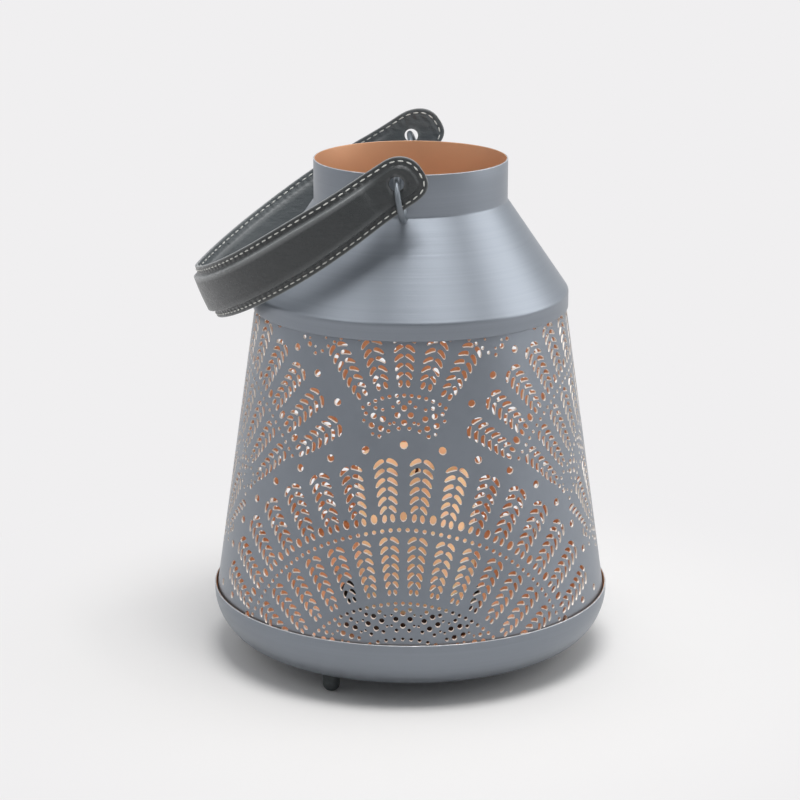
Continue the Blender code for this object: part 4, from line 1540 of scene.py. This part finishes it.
@dataclass
class CandleSet:
    """The black cup, the pillar candle in it and its wick."""

    cup_radius: float = 0.0450
    cup_bottom: float = 0.0013
    cup_height: float = 0.0193
    cup_flat: float = 0.0400
    cup_corner: float = 0.0016
    candle_radius: float = 0.0372
    candle_bottom: float = 0.0026
    candle_height: float = 0.1000
    candle_edge: float = 0.0010
    candle_lip: float = 0.0016
    base_ring: Pair = (0.0120, 0.0140)
    base_hollow: float = 0.0006
    offset: float = 0.0040
    pool_depth: float = 0.0035
    pool_slope: float = 0.0140
    pool_steps: int = 12
    wall_rise: float = 0.0075
    sag: float = 0.00025
    melt: Sequence[Pair] = ((0.0120, 0.0), (0.0060, 0.0001))
    wick_collar: Pair = (0.0008, 0.0004)
    wick_radius: float = 0.0011
    wick_length: float = 0.0056
    wick_room: float = 0.0003
    socket_depth: float = 0.0060
    wick_sunk: float = 0.0057
    wick_bend: float = 0.0012
    bend_start: float = 0.35
    burnt_start: float = 0.96
    burnt_size: float = 0.75
    plait: float = 0.12
    plait_twist: float = 26.0
    wick_steps: int = 40
    wick_sides: int = 12

    @property
    def pool_z(self) -> float:
        """Height of the hollow's floor."""
        return self.candle_bottom + self.candle_height - self.pool_depth

    def build_cup(self, finish: Material) -> Object:
        """Turn the cup with a rolled rim and a stiffening bead.

        Args:
            finish: Its material.

        Returns:
            The cup's piece.
        """
        top = self.cup_bottom + self.cup_height
        floor = self.cup_bottom + SHEET
        corner = self.cup_corner
        inner = self.cup_radius - SHEET
        curl = SHEET / 2
        profile = Profile().line([(0.0, floor), (0.0, self.cup_bottom), (self.cup_flat, self.cup_bottom)])
        profile.arc((self.cup_radius - corner, self.cup_bottom + corner), corner, -90, 0, 6)
        profile.line([(self.cup_radius + out, top - drop) for out, drop in CUP_BEAD])
        profile.arc((self.cup_radius - curl, top - curl), curl, 0, 180, 8)
        profile.line([(inner, floor + corner - SHEET), (inner - corner + SHEET, floor)])
        return profile.turn(120).build("cup", [finish], 32.0)

    def uneven(self, reach: float, angle: float, z: float) -> float:
        """How much the burnt top sags, for a (radius, angle, z) of the candle.

        Args:
            reach: The distance from the candle's axis.
            angle: The angle round it.
            z: The height.

        Returns:
            The change in height.
        """
        swell = sin(2 * angle + 0.6) + 0.5 * sin(5 * angle)
        sag = -self.sag * (1 + 0.6 * swell) * smooth_step(reach / self.candle_radius * 1.4 - 0.3)
        return sag if z >= self.pool_z - 0.001 else 0.0

    def build_candle(self, finish: Material) -> Object:
        """Turn the candle with its rounded rim and the hollow that burning has left.

        Args:
            finish: Its material.

        Returns:
            The candle's piece.
        """
        pool = self.pool_z
        bottom = self.candle_bottom
        top = bottom + self.candle_height + self.wall_rise
        socket = self.wick_radius + self.wick_room
        edge = self.candle_edge
        lip = self.candle_lip
        radius = self.candle_radius
        inner, outer = self.base_ring
        profile = Profile().line([(0.0, pool - self.socket_depth), (0.0, bottom + self.base_hollow),
                                  (inner, bottom + self.base_hollow), (outer, bottom)])
        profile.arc((radius - edge, bottom + edge), edge, -90, 0, 5)
        profile.line([(radius, bottom + self.candle_height * share) for share in (0.2, 0.4, 0.6, 0.8)])
        profile.arc((radius - lip, top - lip), lip, 0, 90, 7)
        for index in range(1, self.pool_steps + 1):
            share = index / self.pool_steps
            fall = (top - pool) * smooth_step(share)
            profile.line([(radius - lip - self.pool_slope * share, top - fall)])
        profile.line([(reach, pool + height) for reach, height in self.melt])
        wide, high = self.wick_collar
        profile.line([(socket + wide, pool + high), (socket, pool), (socket, pool - self.socket_depth)])
        sketch = profile.turn(96, Vector((self.offset, 0.0, 0.0)), self.uneven)
        return sketch.build("pillar_candle", [finish], 40.0)

    def build_wick(self, finish: Material) -> Object:
        """Sweep a plaited, slightly bent wick.

        Args:
            finish: Its material.

        Returns:
            The wick's piece.
        """
        start = self.pool_z - self.wick_sunk
        length = self.wick_length + self.wick_sunk
        points = []
        for step in range(self.wick_steps + 1):
            share = step / self.wick_steps
            lean = self.wick_bend * max(share - self.bend_start, 0.0) ** 2
            end = 1.0 if share < self.burnt_start else self.burnt_size
            for angle in circle_angles(self.wick_sides):
                strands = self.plait * cos(3 * angle + share * self.plait_twist)
                reach = self.wick_radius * (1 - self.plait + strands) * end
                points.append(Vector((self.offset + lean + reach * cos(angle),
                                      reach * sin(angle), start + length * share)))
        faces = ring_faces(self.wick_steps + 1, self.wick_sides)
        return MeshSketch(points, faces).build("candle_wick", [finish], 60.0)


@dataclass
class StrapPath:
    """The strap's centre line and its directions, as the solids have them.

    Reach is the distance from the line through the two holes, negative in the tongues.
    Aside is the distance from the handle's middle, negative at the front.
    """

    wire_radius: float = 0.00175
    ring_radius: float = 0.0135
    ring_drop: float = 0.0112
    ring_spread: float = 0.0085
    ring_reach: float = 0.07535
    yaw: float = 3.2
    sidestep: float = -0.0039
    half_span: float = 0.0834
    reach: float = 0.1490
    shoulder: float = 0.1148
    bulge: float = 0.0300
    nose: float = 0.0122
    droop: float = 34.4
    nose_lean: float = 22.6
    width: float = 0.0350
    end_width: float = 0.0304
    taper: float = 0.0800
    tongue: float = 0.0170
    upper_corner: float = 2.1
    lower_corner: float = 3.2
    straight: float = 0.0080
    ease: float = 0.0320
    back_stretch: float = 1.22
    tongue_steps: int = 26
    arm_steps: int = 96

    def __post_init__(self) -> None:
        """Work out the handle's own axes."""
        turn = radians(self.yaw)
        hole_rise = math.sqrt(self.ring_radius ** 2 - self.ring_spread ** 2)
        self.middle = Vector((self.sidestep, 0.0, NECK_TOP_Z - self.ring_drop + hole_rise))
        self.across = Vector((sin(turn), cos(turn), 0.0))
        self.left = Vector((-cos(turn), sin(turn), 0.0))

    def hole(self, side: int) -> Vector:
        """The middle of the front hole (-1) or the back one (1)."""
        return self.middle + self.across * (side * self.half_span)

    def ring_frame(self, side: int) -> tuple[Vector, Vector, Vector]:
        """Where a ring lies, so that it passes through the strap's hole.

        Args:
            side: -1 for the front ring, 1 for the back one.

        Returns:
            Its centre, its outward axis and its upward axis.
        """
        hole = self.hole(side)
        hole_radius = math.hypot(hole.x, hole.y)
        cosine = (hole_radius ** 2 + self.ring_reach ** 2 - self.ring_spread ** 2) / (
            2 * hole_radius * self.ring_reach)
        azimuth = math.degrees(math.atan2(hole.x, -hole.y) - side * math.acos(min(cosine, 1.0)))
        outwards = on_azimuth(1.0, azimuth, 0.0)
        centre = outwards * self.ring_reach + Vector((0.0, 0.0, NECK_TOP_Z - self.ring_drop))
        upwards = hole - centre
        return centre, outwards, (upwards - outwards * upwards.dot(outwards)).normalized()

    def arm(self, share: float) -> Pair:
        """A point of one arm.

        Args:
            share: How far along the arm it lies, from 0 to 1.

        Returns:
            Its reach and its distance from the handle's middle.
        """
        rest = 1 - share
        b0, b1, b2, b3 = rest ** 3, 3 * rest ** 2 * share, 3 * rest * share ** 2, share ** 3
        reach = b1 * self.shoulder + (b2 + b3) * self.reach
        aside = b0 * self.half_span + b1 * (self.half_span + self.bulge) + b2 * self.nose
        return reach, self.half_span + (aside - self.half_span) * rise(reach, self.straight, self.ease)

    def half_width(self, reach: float) -> float:
        """Half the strap's width at a reach, without the tongue's rounding."""
        end = self.end_width / 2
        return end + (self.width / 2 - end) * rise(reach, 0.0, self.taper)

    def edges(self, reach: float) -> Pair:
        """Upper and lower half widths, with the tongue's rounded end.

        Args:
            reach: Where along the strap.

        Returns:
            The two half widths.
        """
        half = self.half_width(reach)
        share = min(max(-reach / self.tongue, 0.0), 1.0)
        powers = (self.upper_corner, self.lower_corner)
        return tuple(max(half * (1 - share ** power) ** (1 / power), 0.0002) for power in powers)

    def stations(self) -> list[Pair]:
        """(reach, aside) stations from the front tongue to the back one."""
        turns = [pi / 2 * index / self.tongue_steps for index in range(self.tongue_steps)]
        one = [(-self.tongue * cos(turn), self.half_span) for turn in turns]
        one += [self.arm((index / self.arm_steps) ** 1.35) for index in range(self.arm_steps + 1)]
        return [(reach, -aside) for reach, aside in one] + one[-2::-1]

    def frames(self) -> list[tuple[Vector, Vector, Vector, float]]:
        """Each station's centre, upward width direction, outward direction and reach."""
        droop = radians(self.droop)
        nose = radians(self.nose_lean)
        route = self.stations()
        down_left = self.left * cos(droop) - Vector((0.0, 0.0, sin(droop)))
        centres = []
        for reach, aside in route:
            along = reach * self.back_stretch if reach < 0 < aside else reach
            centres.append(self.middle + down_left * along + self.across * aside)
        frames = []
        for index, (reach, _) in enumerate(route):
            share = min(max(reach / self.reach, 0.0), 1.0) ** 5
            tilt = droop + (nose - droop) * share
            upward = self.left * sin(tilt) + Vector((0.0, 0.0, cos(tilt)))
            along = centres[min(index + 1, len(centres) - 1)] - centres[max(index - 1, 0)]
            outward = along.normalized().cross(upward).normalized()
            if outward.dot(centres[index] - self.middle) < 0:
                outward = -outward
            frames.append((centres[index], upward, outward, reach))
        return frames


@dataclass
class Rings:
    """The two wire rings on the neck, each with a weld bead that fixes it there."""

    path: StrapPath
    bead: float = 0.14
    bead_angle: float = 0.16
    ripple: float = 0.012
    steps: int = 96
    size: int = 16

    def build(self, side: int, finish: Material) -> Object:
        """Bend one ring.

        Args:
            side: -1 for the front ring, 1 for the back one.
            finish: Its material.

        Returns:
            The ring's piece.
        """
        centre, outward, upward = self.path.ring_frame(side)
        sideways = outward.cross(upward)
        points = []
        for angle in circle_angles(self.steps):
            spoke = outward * cos(angle) + upward * sin(angle)
            to_neck = abs(math.remainder(angle - pi, 2 * pi))
            swell = 1.0 + self.bead * ridge(to_neck, 0.0, self.bead_angle)
            for around in circle_angles(self.size):
                reach = self.path.wire_radius * swell * (1.0 + self.ripple * sin(5 * around + 9 * angle))
                points.append(centre + spoke * self.path.ring_radius
                              + reach * (spoke * cos(around) + sideways * sin(around)))
        name = f"wire_ring_{'front' if side < 0 else 'back'}"
        return MeshSketch(points, ring_faces(self.steps, self.size, True)).build(name, [finish], 60.0)


class Layer(Enum):
    """The strap's three layers."""

    OUTER = "outer"
    LINING = "lining"
    CORE = "core"


PAD_MARKS = [0.0, 0.00025, 0.0007, 0.0018, 0.0030, 0.0041, 0.0046, 0.0049, 0.0052, 0.0055, 0.0058,
             0.0061, 0.0064, 0.0068]


@dataclass
class StrapHandle:
    """The padded leather strap with its lining, its core and its stitches.

    A pair gives where something starts and over what length it rises, or where a ridge
    lies and how wide it is.
    """

    path: StrapPath
    leather: float = 0.0010
    gap: float = 0.00015
    pad_height: float = 0.0034
    pad_rise: Pair = (0.0118, 0.0100)
    flange: float = 0.0046
    wall: float = 0.0017
    end_puff: float = 0.0019
    puff_rise: Pair = (0.0034, 0.0058)
    puff_limit: float = 0.022
    crown: float = 0.00028
    crown_rise: Pair = (0.001, 0.009)
    edge_round: float = 0.00022
    edge_rise: Pair = (0.0, 0.0006)
    groove: float = 0.00012
    groove_width: float = 0.0007
    lining_groove: float = 0.00022
    lining_groove_width: float = 0.0009
    lining_swell: float = 0.00055
    swell_rise: Pair = (0.0030, 0.0060)
    swell_start: Pair = (0.010, 0.012)
    cover_hollow: float = 0.0009
    core_hollow: float = 0.0014
    core_start: float = 0.0150
    core_inset: float = 0.0058
    rim_wear: Pair = (0.0, 0.0007)
    # Width and onset of the painted highlight along the pad's ridges.
    pad_highlight_width: float = 0.0009
    pad_highlight_rise: Pair = (0.004, 0.02)
    hole_wear: Pair = (0.0046, 0.0008)
    hole_radius: float = 0.00438
    cutter_reach: float = 0.008
    cutter_sides: int = 40
    seam_inset: float = 0.0024
    stitch_pitch: float = 0.0051
    stitch_length: float = 0.0036
    stitch_width: float = 0.00094
    stitch_lift: float = 0.00010

    def __post_init__(self) -> None:
        """Trace the tongue's outline for edge distances."""
        spots = []
        for index in range(601):
            reach = -self.path.tongue + index / 600 * (self.path.tongue + 0.03)
            upper, lower = self.path.edges(reach)
            spots += [(reach, upper), (reach, -lower)]
        self.edge = point_tree(spots)

    def inset(self, reach: float, offset: float) -> float:
        """Distance from a point of the strap to its nearest edge.

        Args:
            reach: The point's reach.
            offset: Its place across the strap.

        Returns:
            The distance in metres.
        """
        upper, lower = self.path.edges(reach)
        if reach > 0.004:
            return max(min(upper - offset, offset + lower), 0.0)
        return self.edge.find((reach, offset, 0.0))[2]

    def lift(self, reach: float, offset: float, shrink: float = 0.0) -> float:
        """Height of the padding over the flanges.

        Args:
            reach: The point's reach.
            offset: Its place across the strap.
            shrink: How much narrower the pad is here, for the hollow underneath.

        Returns:
            The height in metres.
        """
        height = self.pad_height * rise(reach, *self.pad_rise)
        if reach < self.puff_limit:
            height = max(height, self.end_puff * rise(math.hypot(reach, offset), *self.puff_rise))
        edge = self.inset(reach, offset) - self.flange - shrink
        crown = self.crown * rise(edge, *self.crown_rise)
        return height * rise(edge, 0.0, self.wall) + crown * min(height / self.pad_height, 1.0)

    def offsets(self, reach: float) -> list[float]:
        """Places across the strap, closer together over the pad's walls.

        Args:
            reach: Where along the strap.

        Returns:
            The places from the upper edge to the lower one.
        """
        upper, lower = self.path.edges(reach)
        half = self.path.half_width(max(reach, 0.0))
        inner = [PAD_MARKS[-1] + (half - PAD_MARKS[-1]) * part / 4 for part in range(1, 4)]
        shares = [mark / half for mark in PAD_MARKS + inner]
        high = [upper * (1 - share) for share in shares]
        return high + [0.0] + [-lower * (1 - share) for share in reversed(shares)]

    def skins(self, layer: Layer, reach: float, offset: float) -> Pair:
        """Bottom and top heights of a layer over the strap's middle plane.

        Args:
            layer: Which layer.
            reach: The point's reach.
            offset: Its place across the strap.

        Returns:
            The two heights in metres.
        """
        edge = self.inset(reach, offset)
        rounded = self.edge_round * (1 - rise(edge, *self.edge_rise))
        if layer is Layer.OUTER:
            seam = self.groove * ridge(edge, self.seam_inset, self.groove_width)
            under = self.gap * 0.4 + self.lift(reach, offset, self.cover_hollow)
            over = self.gap + self.leather + self.lift(reach, offset) - rounded - seam
            return under, max(over, under + 0.0004)
        if layer is Layer.LINING:
            seam = self.lining_groove * ridge(edge, self.seam_inset, self.lining_groove_width)
            swell = self.lining_swell * rise(edge, *self.swell_rise) * rise(reach, *self.swell_start)
            return -self.gap - self.leather + rounded + seam - swell, -self.gap * 0.4
        low = self.gap + 0.00005
        return low, max(low + self.lift(reach, offset, self.core_hollow) - 0.0002, low + 0.00006)

    def wear_and_highlight(self, reach: float, offset: float) -> float:
        """Rubbing on the edges and round the hole, and a painted highlight along the pad's ridges, stronger
        on the upper side.

        Args:
            reach: The point's reach.
            offset: Its place across the strap.

        Returns:
            The wear and painted highlight, from 0 to 1.
        """
        edge = self.inset(reach, offset)
        rim = 1 - rise(edge, *self.rim_wear)
        # The pad term is a painted highlight on the pad's ridges, stronger on the upper side that faces the
        # light; the rim and hole terms are wear.
        pad = ridge(edge, self.flange + self.wall, self.pad_highlight_width) * rise(reach, *self.pad_highlight_rise)
        hole = ridge(math.hypot(reach, offset), *self.hole_wear)
        return min(0.75 * rim + (0.75 if offset > 0 else 0.2) * pad + 0.35 * hole, 1.0)

    def build_layer(self, layer: Layer, name: str, finish: Material) -> Object:
        """Sweep one layer along the strap.

        Args:
            layer: Which layer.
            name: The piece's name.
            finish: Its material.

        Returns:
            The layer's piece, before its holes are cut.
        """
        points = []
        marks = {"wear_and_highlight": [], "edge": [], "along": []}
        frames = self.path.frames()
        if layer is Layer.CORE:
            frames = [item for item in frames if item[3] > self.core_start]
        along = 0.0
        before = frames[0][0]
        for centre, upward, outward, reach in frames:
            spots = self.offsets(reach)
            if layer is Layer.CORE:
                spots = [spot for spot in spots if self.inset(reach, spot) > self.core_inset]
            along += (centre - before).length
            before = centre
            heights = [self.skins(layer, reach, spot) for spot in spots]
            loop = [(spot, high) for spot, (_, high) in zip(spots, heights)]
            loop += [(spot, low) for spot, (low, _) in zip(reversed(spots), reversed(heights))]
            for spot, height in loop:
                points.append(centre + upward * spot + outward * height)
                # Each point's wear and painted ridge highlight.
                marks["wear_and_highlight"].append(self.wear_and_highlight(reach, spot))
                marks["edge"].append(self.inset(reach, spot))
                marks["along"].append(along)
        size = len(spots)
        ring = 2 * size
        faces = ring_faces(len(frames), ring)[:-2]
        for start in (0, (len(frames) - 1) * ring):
            for column in range(size - 1):
                corners = (column, column + 1, ring - 2 - column, ring - 1 - column)
                faces.append([start + corner for corner in corners])
        return MeshSketch(points, faces).build(name, [finish], 48.0, 0.0, marks)

    def punch(self, piece: Object) -> None:
        """Cut the ring holes at both ends.

        Args:
            piece: The layer to cut.
        """
        upright = Vector((0.0, 0.0, 1.0))
        across = self.path.across
        sideways = across.cross(upright)
        turns = circle_angles(self.cutter_sides)
        for side in (-1, 1):
            points = []
            for end in (-self.cutter_reach, self.cutter_reach):
                middle = self.path.hole(side) + across * end
                spokes = [upright * cos(turn) + sideways * sin(turn) for turn in turns]
                points += [middle + spoke * self.hole_radius for spoke in spokes]
            cutter = MeshSketch(points, ring_faces(2, len(turns))).build("hole_cutter", [], 40.0)
            cut = piece.modifiers.new("hole", "BOOLEAN")
            cut.operation = "DIFFERENCE"
            cut.solver = "EXACT"
            cut.object = cutter
            piece.data = plain_mesh(piece, cut)
            bpy.data.objects.remove(cutter)
        piece.data.set_sharp_from_angle(angle=radians(48.0))

    def inward(self, reach: float, sign: int) -> float:
        """The offset on one side that lies on the seam line in the tongue.

        Args:
            reach: Where along the tongue.
            sign: 1 for the upper side, -1 for the lower one.

        Returns:
            The offset in metres.
        """
        low, high = 0.0, self.path.edges(reach)[0 if sign > 0 else 1]
        for _ in range(24):
            middle = (low + high) / 2
            if self.inset(reach, sign * middle) > self.seam_inset:
                low = middle
            else:
                high = middle
        return (low + high) / 2

    def seam(self, layer: Layer) -> Mesh:
        """The seam line on a layer's face, with the face's direction at each point.

        Args:
            layer: The outer leather or the lining.

        Returns:
            The line as a mesh of edges.
        """
        sides = {1: [], -1: []}
        for centre, upward, outward, reach in self.path.frames():
            if reach < -self.path.tongue + self.seam_inset:
                continue
            for sign, edge in zip(sides, self.path.edges(reach)):
                offset = sign * (self.inward(reach, sign) if reach < 0 else edge - self.seam_inset)
                low, high = self.skins(layer, reach, offset)
                outer = layer is Layer.OUTER
                height = high + self.stitch_lift if outer else low - self.stitch_lift
                way = outward if outer else -outward
                sides[sign].append((centre + upward * offset + outward * height, way))
        loop = sides[1] + sides[-1][::-1]
        mesh = bpy.data.meshes.new("seam")
        edges = [(index, (index + 1) % len(loop)) for index in range(len(loop))]
        mesh.from_pydata([tuple(point) for point, _ in loop], edges, [])
        ways = mesh.attributes.new("seam_normal", "FLOAT_VECTOR", "POINT")
        ways.data.foreach_set("vector", [part for _, way in loop for part in way])
        return mesh

    def build_stitches(self, tree: NodeSheet, layer: Layer, name: str,
                       finish: Material) -> Object:
        """Sew one face of the strap.

        Args:
            tree: The tree that lays the stitches.
            layer: The face that they show on.
            name: The piece's name.
            finish: The thread.

        Returns:
            The stitches' piece.
        """
        mesh = tree.run(self.seam(layer), {
            "Pitch": self.stitch_pitch, "Length": self.stitch_length, "Width": self.stitch_width,
            "Height": self.stitch_width * 0.75, "Material": finish})
        return place_mesh(name, mesh, 60.0)


@dataclass
class Studio:
    """Floor, background, lamps and camera."""

    background: Colour = srgb(240, 239, 240)
    floor_colour: Colour = (0.86, 0.845, 0.83)
    fill_colour: Colour = (0.92, 0.94, 0.97)
    floor_half: float = 8.0
    camera_place: Triple = (-0.00656, -1.5485, 0.5813)
    camera_pitch: float = 74.36
    lens: float = 114.896
    heart: Triple = (0.0, 0.0, 0.12)
    card_aim: Triple = (0.0, 0.0, 0.22)
    glow_radius: float = 0.094
    glow_z: float = 0.085

    def floor(self) -> None:
        """A wide pale floor that keeps the object's shadow and fades into the background."""
        mesh = bpy.data.meshes.new("floor")
        half = self.floor_half
        corners = [(x, y, FLOOR_Z) for x, y in ((-half, -half), (half, -half), (half, half), (-half, half))]
        mesh.from_pydata(corners, [], [[0, 1, 2, 3]])
        plane = place_data("floor", mesh)
        sheet = ShaderSheet(bpy.data.materials.new("pale floor"))
        x, y, _ = sheet.axes()
        fade = ((x * x + y * y) ** 0.5).step(0.11, 0.36)
        ray = sheet.node("ShaderNodeLightPath", output="Is Camera Ray")
        mirrored, through = sheet.split(ray, "Is Glossy Ray", "Is Transmission Ray")
        matt = sheet.node("ShaderNodeBsdfDiffuse", None, {"Color": self.floor_colour})
        glow = sheet.node("ShaderNodeEmission", None, {"Color": self.background, "Strength": 1.0})
        factor = (ray + mirrored + through) * fade
        top = sheet.node("ShaderNodeMixShader", None, {0: factor, 1: matt, 2: glow})
        under = sheet.node("ShaderNodeNewGeometry", output="Backfacing")
        clear = sheet.node("ShaderNodeBsdfTransparent")
        sheet.end(sheet.node("ShaderNodeMixShader", None, {0: under, 1: top, 2: clear}))
        mesh.materials.append(sheet.owner)

    def world(self) -> None:
        """An even background, and a soft fill that is brighter from behind the lantern."""
        world = bpy.data.worlds.new("studio")
        bpy.context.scene.world = world
        sheet = ShaderSheet(world)
        way = sheet.node("ShaderNodeTexCoord", output="Generated")
        depth = sheet.node("ShaderNodeSeparateXYZ", None, {0: way}, "Y")
        fill = sheet.node("ShaderNodeBackground", None, {
            "Color": self.fill_colour, "Strength": depth.step(-0.2, 0.6, 0.30, 0.78)})
        seen = sheet.node("ShaderNodeBackground", None, {"Color": self.background})
        ray = sheet.node("ShaderNodeLightPath", output="Is Camera Ray")
        direct = ray.maximum(*sheet.split(ray, "Is Transmission Ray"))
        mixed = sheet.node("ShaderNodeMixShader", None, {0: direct, 1: fill, 2: seen})
        sheet.end(mixed, "ShaderNodeOutputWorld")

    def lamp(self, name: str, place: Triple, aim: Triple, size: Pair, power: float) -> Object:
        """Hang one soft lamp.

        Args:
            name: The lamp's name.
            place: Where it hangs.
            aim: The point that it faces.
            size: Its width and height.
            power: Its power in watts.

        Returns:
            The lamp's object.
        """
        light = bpy.data.lights.new(name, "AREA")
        light.shape = "RECTANGLE"
        light.size, light.size_y = size
        light.energy = power
        holder = place_data(name, light)
        holder.location = place
        holder.rotation_euler = (Vector(aim) - Vector(place)).to_track_quat("-Z", "Y").to_euler()
        return holder

    def card(self, name: str, place: Triple, size: Pair, power: float) -> None:
        """Hang a bright card that only reflections see, so that the floor stays at its level."""
        self.lamp(name, place, self.card_aim, size, power).visible_diffuse = False

    def camera(self) -> None:
        """Put up the photograph's camera."""
        data = bpy.data.cameras.new("camera")
        data.lens = self.lens
        data.sensor_width = 36.0
        data.clip_start = 0.05
        camera = place_data("camera", data)
        camera.location = self.camera_place
        camera.rotation_euler = (radians(self.camera_pitch), 0.0, 0.0)
        bpy.context.scene.camera = camera

    def build(self) -> None:
        """Set up the whole studio."""
        self.floor()
        self.world()
        self.lamp("left softbox", (-1.6, 0.0, 1.0), self.heart, (1.3, 1.3), 4.0)
        self.lamp("right softbox", (1.6, 0.0, 0.9), self.heart, (1.3, 1.3), 7.0)
        self.lamp("overhead softbox", (0.18, -0.50, 2.1), self.heart, (1.0, 0.8), 27.0)
        self.card("left card", (-1.25, -1.00, 1.45), (1.0, 1.0), 6.0)
        self.card("key card", (0.85, -1.1, 1.8), (1.1, 1.0), 6.0)
        self.card("right card", (1.70, 0.2, 1.00), (1.5, 1.4), 10.0)
        for index in range(4):
            place = tuple(on_azimuth(self.glow_radius, 45.0 + 90.0 * index, self.glow_z))
            self.lamp(f"inner glow {index + 1}", place, (0.0, 0.0, self.glow_z), (0.02, 0.11), 0.028)
        self.camera()
        bpy.context.scene.view_settings.view_transform = "Standard"


def keep_piece(piece: Object, body: str, slot: Optional[str], *nodes: str) -> None:
    """Ride a piece on its body and let it stand for its solids.

    Args:
        piece: The finished piece.
        body: The body that it moves with.
        slot: A material slot's name, if it has one; not used.
        nodes: The solids that it stands for.
    """
    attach(piece, body)
    if nodes:
        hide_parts(*nodes)
    LOG.info("%s: %d faces on %s", piece.name, len(piece.data.polygons), body)


def main() -> None:
    """Build the lantern and the studio."""
    logging.basicConfig(level=logging.INFO, format="%(message)s")
    Studio().build()
    motifs = motif_tree()
    stitches = stitch_tree()

    spun = MetallicPaint().make()
    rolled = MetallicPaint("slate paint rolled", grain=Grain.ROLLED, streak=0.35).make()
    copper = CopperPaint().make()
    edge = Mottled("bright cut edge", srgb(236, 228, 219), 700.0, 2, 0.82, 1.0, 0.30, 0.12, 0.15).make()
    # Rims: paint lightened as a painted highlight, with bare-metal wear.
    rim = WornHighlightedRim().make()

    body = PerforatedBody()
    keep_piece(body.build([rolled, copper, edge], motifs), "lantern", "grey_paint", "perforated_body")
    keep_piece(SeamLap().build(body, rolled), "lantern", "grey_paint")
    keep_piece(BasePan().build([spun, copper, rim]), "lantern", "grey_paint", "base_pan")
    keep_piece(Shoulder().build([spun, copper, rim]), "lantern", "grey_paint", "shoulder_neck")

    steel = Mottled("screw steel", srgb(178, 178, 176), (900.0, 900.0, 5000.0), 3, 0.7, 1.0, 0.26, 0.16,
                    1.0, 0.00002).make()
    feet, screws = Feet().build(motifs, Rubber().make(), steel)
    keep_piece(feet, "lantern", "foot_rubber", "foot_1", "foot_2", "foot_3")
    keep_piece(screws, "lantern", "screw_steel", "foot_screw_1", "foot_screw_2", "foot_screw_3")

    candles = CandleSet()
    black = PlainPaint("cup black", srgb(30, 30, 31), 0.42).make()
    wick_cord = Mottled("wick cotton", srgb(84, 52, 36), (3000.0, 3000.0, 900.0), 2, 0.55, 1.0, 0.85,
                        relief=0.0001).make()
    keep_piece(candles.build_cup(black), "lantern", "black_paint", "candle_cup")
    keep_piece(candles.build_candle(Wax().make()), "candle_body", "candle_wax", "candle")
    keep_piece(candles.build_wick(wick_cord), "candle_body", "wick_cord", "wick")

    path = StrapPath()
    wire = PlainPaint("ring paint", srgb(112, 118, 124), 0.38, 0.5).make()
    for side, node in ((-1, "handle_ring_front"), (1, "handle_ring_back")):
        keep_piece(Rings(path).build(side, wire), "lantern", "ring_paint", node)

    strap = StrapHandle(path)
    # The second colour carries wear and the painted highlight on the pad's ridges.
    outer_leather = Leather("strap leather", srgb(54, 57, 58), srgb(168, 171, 172), 0.32).make()
    lining_leather = Leather("lining leather", srgb(95, 100, 102), srgb(165, 167, 167), 0.42,
                             0.00004, 0.00050, 0.00016, 0.0085).make()
    outer = strap.build_layer(Layer.OUTER, "strap_cover", outer_leather)
    strap.punch(outer)
    keep_piece(outer, "handle", "strap_leather", "strap_outer")
    lining = strap.build_layer(Layer.LINING, "strap_back", lining_leather)
    strap.punch(lining)
    keep_piece(lining, "handle", "lining_leather", "strap_lining")
    felt = Mottled("core felt", srgb(58, 58, 60), 1600.0, 5, 1.0, 1.8, 0.95, relief=0.0003, sheen=0.4).make()
    core = strap.build_layer(Layer.CORE, "strap_filler", felt)
    keep_piece(core, "handle", "core_felt", "strap_core")
    thread = Mottled("waxed thread", srgb(228, 228, 222), (2600.0, 2600.0, 2600.0), 2, 0.72, 1.0, 0.6,
                     relief=0.0001).make()
    for layer, name in ((Layer.OUTER, "stitches_outside"), (Layer.LINING, "stitches_inside")):
        keep_piece(strap.build_stitches(stitches, layer, name, thread), "handle", None)


if __name__ == "__main__":
    main()
